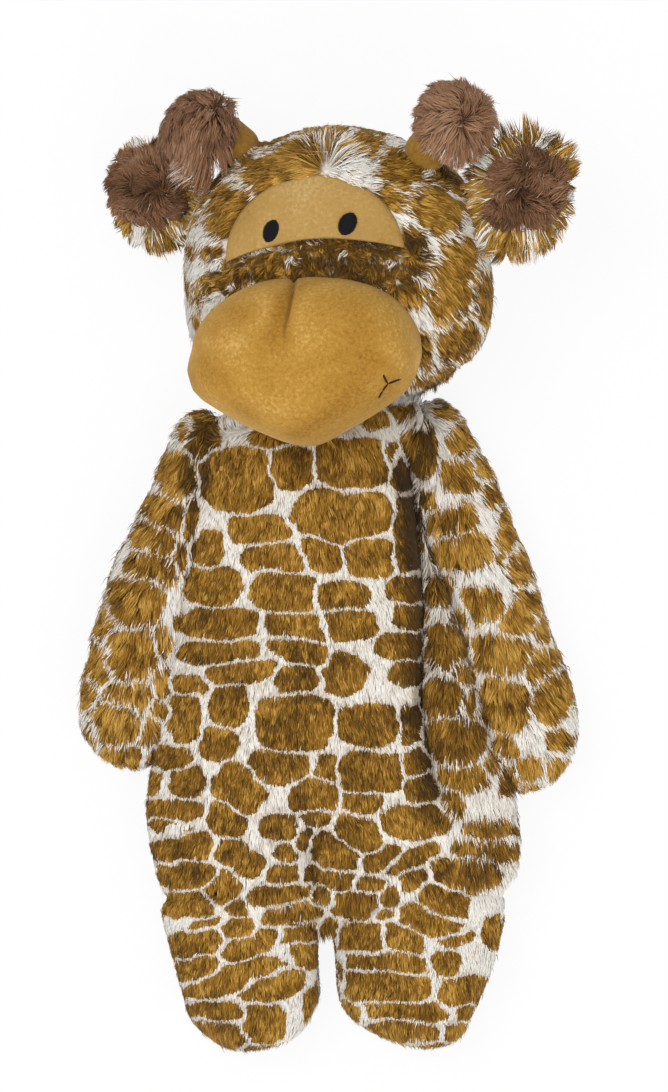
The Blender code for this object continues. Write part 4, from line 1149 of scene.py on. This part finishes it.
def makeHead():
    skin = skinOf("headSkin", headForm, headPlan["inset"], 120, 44, 0, headPlace, noShift)
    points = readPoints(skin)
    local = intoHead(points)
    gap = patchGap(local[:, 0], local[:, 1])
    down = np.array(headPlace.to_3x3() @ Vector((0, 0, 1)))
    sunk = np.clip((1.03 - gap) / 0.05, 0, 1) * (local[:, 2] > 0)
    points = points - down * (sunk * 0.0026)[:, None]
    edge = browEdge(local[:, 0])
    front = (local[:, 2] > 0) * np.clip((0.056 - np.abs(local[:, 0])) / 0.01, 0, 1)
    over = local[:, 1] - edge
    roll = 0.0022 * hump(over, -0.0075, 0.0038) - 0.0034 * hump(over, -0.0010, 0.0020)
    roll = roll * (1 + 0.5 * ripple(points, 0.011, 78))
    points = points + down * (roll * front)[:, None]
    writePoints(skin, points)
    tools = [makeBall("seatTool", neckCentre + toyShift, 0.0222)]
    for side in sides:
        tools.append(makeBall("seatTool", headPlace @ hornPlaces(side)[0], hornPlan["radius"] + seamGap))
    cutAway(skin, tools)
    finishPiece(skin, knit, "head", ("head_cover", "head_stuffing"), "head")
    whorl = np.array(headPlan["whorl"])
    horns = [np.array(headPlace @ hornPlaces(side)[0]) for side in sides]
    upward = np.array(headPlace.to_3x3() @ Vector((0, 1, 0)))

    def jaw(roots):
        x, y = seenFrom(roots).T
        return stepDown(y, 98, 12) * stepUp(x, 20, 15)

    def nearHorn(roots, pivot):
        return stepDown(np.linalg.norm(roots - pivot, axis=1), 0.0180, 0.004)

    def lay(roots, ways):
        flat = seenFrom(roots)
        out = flat - whorl
        far = np.linalg.norm(out, axis=1)
        comb = np.concatenate([unit(out), np.zeros((len(out), 1))], axis=1)
        local = intoHead(roots)
        under = (local[:, 1] < headPlan["brow"]) & (np.abs(local[:, 0]) < 0.045) & (local[:, 2] > 0)
        length = 0.0094 + 0.0100 * hump(far, 0, 14) * np.clip(0.5 + comb[:, 1] * 1.5, 0, 1)
        length = length - 0.0040 * stepUp(flat[:, 1], 186, 12)
        length = length - 0.0040 * hump(far, 0, 7) * np.clip(-comb[:, 1] * 2, 0, 1)
        length = np.where(under, 0.0056, length)
        low = jaw(roots)
        length = length + 0.0080 * low
        comb[:, 1] -= low * 0.9
        near = (patchGap(local[:, 0], local[:, 1]) < 1.25) & ~under & (local[:, 2] > 0)
        length = np.where(near & (far > 14), length * 0.8, length)
        lip = hump(local[:, 1] - browEdge(local[:, 0]), -0.0012, 0.0016) * under
        comb = comb * (1 - lip)[:, None] + upward[None] * lip[:, None]
        for pivot in horns:
            close = nearHorn(roots, pivot)
            comb = comb * (1 - close)[:, None] + unit(pivot - roots) * close[:, None]
            length = length * (1 - close) + 0.0080 * close
        return comb, length * underneath(ways, 0.85)

    def lifted(roots, ways):
        return 34 * jaw(roots) + 24 * sum(nearHorn(roots, pivot) for pivot in horns)

    def keep(roots, ways):
        local = intoHead(roots)
        gone = (patchGap(local[:, 0], local[:, 1]) < 0.985) & (local[:, 2] > 0)
        gone |= insideForm(local, muzzleForm, 0.0015)
        for side in sides:
            pivot = np.array(hornPlaces(side)[0])
            gone |= np.linalg.norm(local - pivot, axis=1) < hornPlan["radius"] + 0.0002
        return (roots[:, 2] > floorGap) & ~gone

    def browShare(roots):
        # the roll of cloth between the forehead patch and the muzzle, where the pile is rubbed short and curly
        local = intoHead(roots)
        inside = (local[:, 1] < headPlan["brow"] + 0.003) & (local[:, 1] > -0.018)
        return (inside & (np.abs(local[:, 0]) < 0.050) & (local[:, 2] > 0)).astype(float)

    def tone(roots, ways):
        # painted shade: the pile is darker in the crease of the brow, most just right of the middle, with random
        # ripples there and over the head
        deep = 0.22 + 0.26 * hump(intoHead(roots)[:, 0], 0.010, 0.022)
        return browShare(roots) * (0.36 * ripple(roots, 0.0055, 77) - deep) + 0.08 * ripple(roots, 0.014, 25)

    def coat(seat, ways):
        fleck = ripple(seat, 0.010, 79) < -0.92
        brow = (browShare(seat) > 0) & (np.abs(intoHead(seat)[:, 0]) < 0.044)
        return np.where(brow, 1.0 - fleck, printAt(seat, ways, "head"))

    growPile("headPile", skin, "head", {
        "density": (2.7, 0.36), "keep": keep, "lay": lay, "tone": tone, "raise": lifted, "width": 0.00052,
        "rootRise": 30, "tipRise": 4, "swingSize": 0.008, "trim": 0.12, "lock": 24, "lockTone": 0.15,
        "coat": coat, "swing": lambda roots, ways: 12 + 55 * browShare(roots),
    }, plush, 301)


makeNeck()
makeHead()
print("neck and head done")


def headHeight(x, y, inset):
    # how far the head's surface, drawn in by inset, stands over the head's middle plane
    halfHeight = headPlan["half"][1]
    along = (y / (1 - inset / halfHeight) + halfHeight) / (2 * halfHeight)
    close = np.sqrt(np.maximum(0, 1 - (2 * along - 1) ** 2))
    width = (0.0710 * shareAt(headForm["widthShares"], along) - inset) * close
    depth = (0.0520 * shareAt(headForm["depthShares"], along) - inset) * close
    return depth * np.sqrt(np.maximum(0, 1 - (x / np.maximum(width, 1e-6)) ** 2))


def makePatch():
    # a dome of velour laid on the forehead, its edge turned down into the pile
    half, low, high, brow = (headPlan[key] for key in ("patchHalf", "patchLow", "patchHigh", "brow"))
    angles = np.linspace(0, math.pi, 73)
    outline = [(half * math.cos(a), low + high * math.sin(a)) for a in angles]
    outline += [(x, low + brow * (1 - (x / half) ** 2)) for x in np.linspace(-half, half, 49)[1:-1]]
    outline = np.array(outline)
    centre = np.array((0.0, low + high * 0.52))
    rings = np.concatenate([np.linspace(0.04, 0.93, 26), [0.955, 0.975, 0.99, 1.0, 1.0, 0.985]])
    drops = np.concatenate([np.zeros(26), [0.0002, 0.0006, 0.0011, 0.0019, 0.0028, 0.0032]])
    layers = []
    for share, drop in zip(rings, drops):
        flat = centre + (outline - centre) * share
        layers.append(np.column_stack([flat, headHeight(flat[:, 0], flat[:, 1], headPlan["inset"]) - drop]))
    ends = [(*centre, float(headHeight(centre[:1], centre[1:], inset)[0])) for inset in (0.0022, 0.0054)]
    piece = closedSkin("foreheadPatch", np.array(layers), np.array(ends), headPlace, noShift)
    puff(piece, 0.03, 0.0003, 41)
    # the patch wears the velour with painted sheen
    finishPiece(piece, patchVelourPaintedSheen, "head", ("forehead_patch",))


muzzlePlan = {
    "tuck": ((-15.9, 135.3), (-18.6, 122.0), (-20.4, 112.0), (-21.0, 101.4)),
    "tuckDepth": 0.0022,
    "chin": ((-14.0, 73.4), (-14.8, 66.0)),
    "cheeks": (101.4, 57.0, -9.0),
    "narrowing": (
        (0, 0.21, 0.42, 0.53, 0.63, 0.74, 0.84, 0.95, 1.05), (1.0, 1.03, 1.05, 1.01, 0.94, 0.85, 0.75, 0.65, 0.6)
    ),
}


def makeMuzzle():
    skin = skinOf("muzzleSkin", muzzleForm, 0.0003, 216, 56, 10, headPlace, noShift)
    puff(skin, 0.05, 0.0007, 51)
    points, normals = readPoints(skin), readNormals(skin)
    flat = seenFrom(points)
    # the two cheeks meet in a blunt point at the chin
    level, low, middle = muzzlePlan["cheeks"]
    part = (level - flat[:, 1]) / (level - low)
    share = np.interp(part, *muzzlePlan["narrowing"])
    drift = np.interp(part, (0, 0.3, 0.5, 0.8, 1.0), (0.0, -0.0012, -0.0028, -0.0024, 0.0))
    points[:, 0] += (share - 1) * (flat[:, 0] - middle) / 1000 + drift
    points[:, 1] -= 0.0016 * np.clip(part, 0, 1) ** 2
    flat = seenFrom(points)
    gap, where = lineDistance(flat, muzzlePlan["tuck"])
    fade = np.clip((1 - where) * 1.6, 0, 1) * np.clip(normals[:, 2] * 3 + 0.6, 0, 1) * (points[:, 2] > 0.05)
    paintedTuckShade = hump(gap, 0, 0.8) * fade
    dent = muzzlePlan["tuckDepth"] * (hump(gap, 0, 1.0) + 0.30 * hump(gap, 0, 4.0)) * fade
    points = points - normals * dent[:, None]
    end = np.linalg.norm(flat - np.array(muzzlePlan["tuck"][-1]), axis=1)
    points = points + normals * (0.0007 * hump(end, 5, 4) * (points[:, 2] > 0.05))[:, None]
    gap, _ = lineDistance(flat, muzzlePlan["chin"])
    points = points - normals * (0.0006 * hump(gap, 0, 1.6) * (points[:, 2] > 0.04))[:, None]
    writePoints(skin, points)
    # painted shade along the tuck's crease, read by the velour's colour
    addValues(skin.data, "tuckShade", np.clip(paintedTuckShade, 0, 1) * 0.85)
    cutAway(skin, [skinOf("headTool", headForm, 0.0020, 96, 32, 0, headPlace, noShift)])
    finishPiece(skin, velour, "head", ("muzzle_cover", "muzzle_stuffing"))
    return skin


def makeHorn(side, seed):
    pivot, way = hornPlaces(side)
    body = side + "_horn"
    shares = (1.0, 0.99, 0.96, 0.72, 0.50)  # slim where the pompom is wound over it
    form = stuffedForm(
        pivot - way * 0.0100, pivot + way * 0.0300, way.cross(Vector((0, 0, 1))), 0.0100, 0.0100, 0.0100, 0.0100,
        widthShares=shares, depthShares=shares,
    )
    skin = skinOf(side + "HornSkin", form, 0.0001, 48, 10, 16, headPlace, noShift)
    puff(skin, 0.014, 0.0004, seed)
    # the stub wears the velour with painted shade
    finishPiece(skin, hornVelourPaintedShade, body, (body + "_cover", body + "_stuffing"))
    # the pompon's own wound core, under its long pile
    centre = headPlace @ (pivot + way * hornPlan["tipAlong"]) + Vector((0, -hornPlan["sag"][side], 0))
    core = makeBall(side + "HornCore", centre, 0.0128, 40)
    cutAway(core, [skinOf("hornTool", form, -0.0003, 32, 6, 6, headPlace, noShift)])
    finishPiece(core, brownKnit, body, (body + "_tip",), "brown")
    heart, out = np.array(centre), np.array(headPlace.to_3x3() @ way)

    def lay(roots, ways):
        # the pile parts at a whorl that faces up, and hangs a little
        comb = unit(roots - heart - np.array(hornPlan["whorl"][side])) + np.array((0, -hornPlan["hang"][side], 0))
        tail = stepDown(roots[:, 1], heart[1] - 0.003, 0.005) * stepUp(roots[:, 0] - heart[0], -0.002, 0.004)
        comb[:, 1] -= 1.6 * tail * (side == "left")
        top = stepUp(roots[:, 1] - heart[1], 0.002, 0.008) * (side == "left")
        return comb, hornPlan["pile"][side] * (1 - 0.3 * top) + hornPlan["tail"][side] * tail

    def lifted(roots, ways):
        crown = heart + unit(np.array(hornPlan["whorl"][side])[None])[0] * 0.0128
        return 26 * hump(np.linalg.norm(roots - crown, axis=1), 0, 0.0045)

    def keep(roots, ways):
        along = (roots - heart) @ out
        aside = np.linalg.norm(roots - heart - out * along[:, None], axis=1)
        return ~((along < -0.006) & (aside < 0.0104))

    def pale(roots, ways):
        return np.clip((heart[1] - 0.006 - roots[:, 1]) / 0.010, 0.003, hornPlan["pale"][side])

    growPile(side + "HornPile", core, body, {
        "density": (4.6, 2.6), "keep": keep, "lay": lay, "raise": lifted, "pale": pale, "width": 0.00056,
        "rootRise": 40, "tipRise": 10, "trim": 0, "swing": 40, "swingSize": 0.013, "stray": 9, "gather": 0.74,
        "lock": 44, "curl": 0.22, "fall": (0.0, -0.25, 0.0), "lift": 0.25, "tone": hornPlan["tone"][side],
    }, brownPile, seed)


makePatch()
muzzle = makeMuzzle()
for side, seed in zip(sides, (401, 402)):
    makeHorn(side, seed)
print("velour and horns done")


earPlan = {
    "length": 0.0580, "halfWidth": 0.0250, "halfDepth": 0.0070, "embed": 0.0060, "hinge": 0.0042, "seat": 0.0003,
    "sink": 0.0008, "frontStart": 0.0060, "frontLength": 0.0430, "frontHalfWidth": 0.0190,
    "frontHalfDepth": 0.0060,
    "width": (0.52, 0.86, 1.0, 1.0, 0.92), "depth": (0.58, 0.80, 1.0, 1.0, 0.85),
    "root": {"left": (-0.93, 0.30, -0.12), "right": (0.96, 0.08, 0.12)},
    "rise": {"left": math.radians(44), "right": math.radians(37)},
    "fringe": {"left": (0.0082, 0.0048, 0.0), "right": (0.0092, 0.0066, 0.0062)},
}


def earForm(hinge, reach, start, length, halfWidth, halfDepth, lift):
    up = Vector((0, 0, lift))
    return stuffedForm(
        hinge + reach * start + up, hinge + reach * (start + length) + up, (reach.y, -reach.x, 0), halfWidth,
        halfDepth,
        length / 2, length / 2, widthShares=earPlan["width"], depthShares=earPlan["depth"],
    )


def makeEar(side, seed):
    body = side + "_ear"
    root = onHead(earPlan["root"][side])
    outward = Vector((root.x / 0.0710**2, root.y / 0.0620**2, 0)).normalized()
    hinge = root + outward * (earPlan["hinge"] + earPlan["seat"] - earPlan["sink"])
    rise = earPlan["rise"][side]
    reach = Vector((math.copysign(math.cos(rise), root.x), math.sin(rise), 0))
    length = earPlan["length"]
    backForm = earForm(hinge, reach, -earPlan["embed"], length, earPlan["halfWidth"], earPlan["halfDepth"], 0)
    frontForm = earForm(
        hinge, reach, earPlan["frontStart"] + 0.0010, earPlan["frontLength"] - 0.0040,
        earPlan["frontHalfWidth"] - 0.0020, earPlan["frontHalfDepth"], earPlan["halfDepth"] * 0.70,
    )
    coreForm = earForm(
        hinge, reach, -earPlan["embed"], length - 0.0055, earPlan["halfWidth"] - 0.0040, earPlan["halfDepth"], 0
    )
    back = skinOf(side + "EarBack", coreForm, 0.0020, 64, 20, 0, headPlace, noShift)
    # the base is trimmed back to the seam line of the head
    shift = headPlace @ hinge
    normal = headPlace.to_3x3() @ outward
    work = bmesh.new()
    work.from_mesh(back.data)
    cut = bmesh.ops.bisect_plane(
        work, geom=work.verts[:] + work.edges[:] + work.faces[:], plane_co=shift - normal * 0.0030,
        plane_no=normal, clear_inner=True,
    )
    edges = [item for item in cut["geom_cut"] if isinstance(item, bmesh.types.BMEdge)]
    bmesh.ops.triangle_fill(work, edges=edges, use_beauty=True)
    bmesh.ops.recalc_face_normals(work, faces=work.faces)
    work.to_mesh(back.data)
    work.free()
    back.data.shade_smooth()
    finishPiece(back, knit, body, (body + "_back",), "head")
    front = skinOf(side + "EarFront", frontForm, 0.0020, 56, 18, 0, headPlace, noShift)
    cutAway(front, [skinOf("earTool", backForm, 0.0019, 48, 14, 0, headPlace, noShift)])
    finishPiece(front, brownKnit, body, (body + "_front",), "brown")
    way = np.array(headPlace.to_3x3() @ reach)
    aside = np.array(headPlace.to_3x3() @ Vector((reach.y, -reach.x, 0)))
    heart = np.array(headPlace @ (hinge + reach * (earPlan["frontStart"] + earPlan["frontLength"] / 2)))

    def layBack(roots, ways):
        local = roots - heart
        out = unit(aside[None] * (local @ aside)[:, None] + way[None] * (local @ way)[:, None])
        base, tall, top = earPlan["fringe"][side]
        inward = 0.0085 * np.clip(-(out @ way), 0, 1) * np.clip(out[:, 1] + 0.5, 0, 1)
        length = base + tall * out[:, 1] ** 2 + top * np.clip(out[:, 1], 0, 1) + inward
        return out + np.array((0, -0.12, 0)), length

    def layFront(roots, ways):
        local = roots - heart
        u, v = (local @ aside) / 0.014, (local @ way) / 0.018
        comb = aside[None] * (u * 0.8 - v * 0.7 + 0.7 * ripple(roots, 0.013, seed))[:, None]
        comb = comb + way[None] * (v * 0.8 + u * 0.7 + 0.7 * ripple(roots, 0.012, seed + 1))[:, None]
        rim = np.clip(np.hypot(u, v), 0, 1.2)
        return comb, 0.0122 - 0.0036 * rim

    def rimCoat(seat, ways):
        local = seat - heart
        turn = np.arctan2(local @ way, local @ aside)
        value = np.sin(turn * 5 + 1.3 + seed) + 0.9 * np.sin(turn * 9 + seed * 2.0)
        return (value + 0.7 * ripple(seat, 0.008, seed) + 1.0 > 0).astype(float)

    def frontPartingShade(roots, ways):
        # painted shade of a dark, wavy parting down the middle
        local = roots - heart
        return -0.40 * hump(local @ aside + 0.004 * np.sin((local @ way) / 0.006), 0, 0.0045)

    growPile(side + "EarBackPile", back, body, {
        "density": (1.9, 0.8), "lay": layBack, "width": 0.00066, "rootRise": 22, "tipRise": 2, "gather": 0.74,
        "trim": 0, "lock": 34, "lift": 0.7, "tone": 0.10, "pale": 0.09, "coat": rimCoat,
        "keep": lambda roots, ways: ~insideForm(intoHead(roots), headForm, 0.001),
    }, plush, seed)
    growPile(side + "EarFrontPile", front, body, {
        "density": (3.4, 0.0), "lay": layFront, "tone": frontPartingShade, "width": 0.00062, "rootRise": 44,
        "tipRise": 6, "gather": 0.62, "trim": 0, "lock": 20, "swing": 30, "swingSize": 0.014, "stray": 12,
        "curl": 0.35, "pale": 0.003,
        "raise": lambda roots, ways: 30 * hump(np.linalg.norm(roots - heart, axis=1), 0, 0.008),
    }, earPile, seed + 5)


for side, seed in zip(sides, (501, 502)):
    makeEar(side, seed)
print("ears done")


eyePlan = {
    "spacing": 0.0360, "shift": 0.0012, "height": 0.0131, "width": 0.0084, "length": 0.0108,
    "lean": math.radians(20), "threads": 21,
}


def threadTube(name, path, radius, squash=0.75, around=8):
    # one laid thread: a slim tube along a path, closed at both ends
    path = [Vector(point) for point in path]
    work = bmesh.new()
    rings = []
    for index, point in enumerate(path):
        way = (path[min(index + 1, len(path) - 1)] - path[max(index - 1, 0)]).normalized()
        up = (headPlace.to_3x3() @ Vector((0, 0, 1))).normalized()
        across = way.cross(up).normalized()
        up = across.cross(way)
        end = 0.45 if index in (0, len(path) - 1) else 1.0
        ring = []
        for a in [2 * math.pi * k / around for k in range(around)]:
            spot = point + across * math.cos(a) * radius * end + up * math.sin(a) * radius * end * squash
            ring.append(work.verts.new(spot))
        rings.append(ring)
    for low, high in zip(rings, rings[1:]):
        for k in range(around):
            after = (k + 1) % around
            work.faces.new((low[k], low[after], high[after], high[k]))
    work.faces.new(rings[0][::-1])
    work.faces.new(rings[-1])
    bmesh.ops.recalc_face_normals(work, faces=work.faces)
    mesh = bpy.data.meshes.new(name)
    work.to_mesh(mesh)
    work.free()
    return makeObject(name, mesh)


def joinPieces(name, things):
    deselectAll()
    for thing in things:
        thing.select_set(True)
    bpy.context.view_layer.objects.active = things[0]
    bpy.ops.object.join()
    things[0].name = name
    deselectAll()
    return things[0]


def makeEye(name, node, sign):
    # satin stitch: threads laid side by side across a leaning oval, crowned in the middle
    centre = Vector((eyePlan["shift"] + sign * eyePlan["spacing"] / 2, eyePlan["height"]))
    lean = eyePlan["lean"]
    right, up = Vector((math.cos(lean), -math.sin(lean))), Vector((math.sin(lean), math.cos(lean)))
    threads = []
    count = eyePlan["threads"]
    pitch = eyePlan["length"] / count
    rng = random.Random(7)
    for index in range(count):
        along = (index + 0.5) / count * 2 - 1
        reach = eyePlan["width"] / 2 * math.sqrt(max(0.02, 1 - along * along)) * rng.uniform(0.97, 1.03)
        path = []
        for step in range(9):
            share = step / 4 - 1
            rise = along * eyePlan["length"] / 2 * 0.97 + 0.00025 * share
            flat = centre + right * (reach * share) + up * rise
            crown = 0.0011 * math.sqrt(max(0.0, 1 - (share * 0.96) ** 2)) * (1 - 0.35 * along * along)
            height = float(headHeight(np.array([flat.x]), np.array([flat.y]), 0.0022)[0])
            path.append(headPlace @ Vector((flat.x, flat.y, height + crown - 0.0001)))
        threads.append(threadTube("thread", path, pitch * 0.56))
    eye = joinPieces(name, threads)
    finishPiece(eye, blackThread, "head", (node,))


mouthPlan = {
    "centre": (0.0350, -0.0610), "radius": 0.00050,
    "strokes": ((math.radians(22), 0.0050), (math.radians(97), 0.0042), (math.radians(227), 0.0082)),
}


def makeMouth():
    # backstitches laid on the velour, each ending where it dives into the cloth
    muzzle.data.update()
    inverse = headPlace.inverted()
    down = (headPlace.to_3x3() @ Vector((0, 0, -1))).normalized()
    centre = Vector(mouthPlan["centre"])
    threads = []
    for angle, length in mouthPlan["strokes"]:
        way = Vector((math.cos(angle), math.sin(angle)))
        bits = 2 if length > 0.006 else 1
        for bit in range(bits):
            path = []
            for step in range(7):
                share = (bit + 0.02 + 0.96 * step / 6) / bits
                flat = centre + way * (length * share)
                _, place, _, _ = muzzle.ray_cast(headPlace @ Vector((flat.x, flat.y, 0.12)), down)
                dive = 0.0005 * abs(step / 3 - 1) ** 3
                path.append(place - down * (0.00045 - dive))
            threads.append(threadTube("stitch", path, mouthPlan["radius"], 0.8))
    mouth = joinPieces("mouthStitch", threads)
    finishPiece(mouth, mouthThread, "head", ("mouth_stitch",))


makeEye("leftEye", "left_eye", -1)
makeEye("rightEye", "right_eye", 1)
makeMouth()
print("embroidery done")
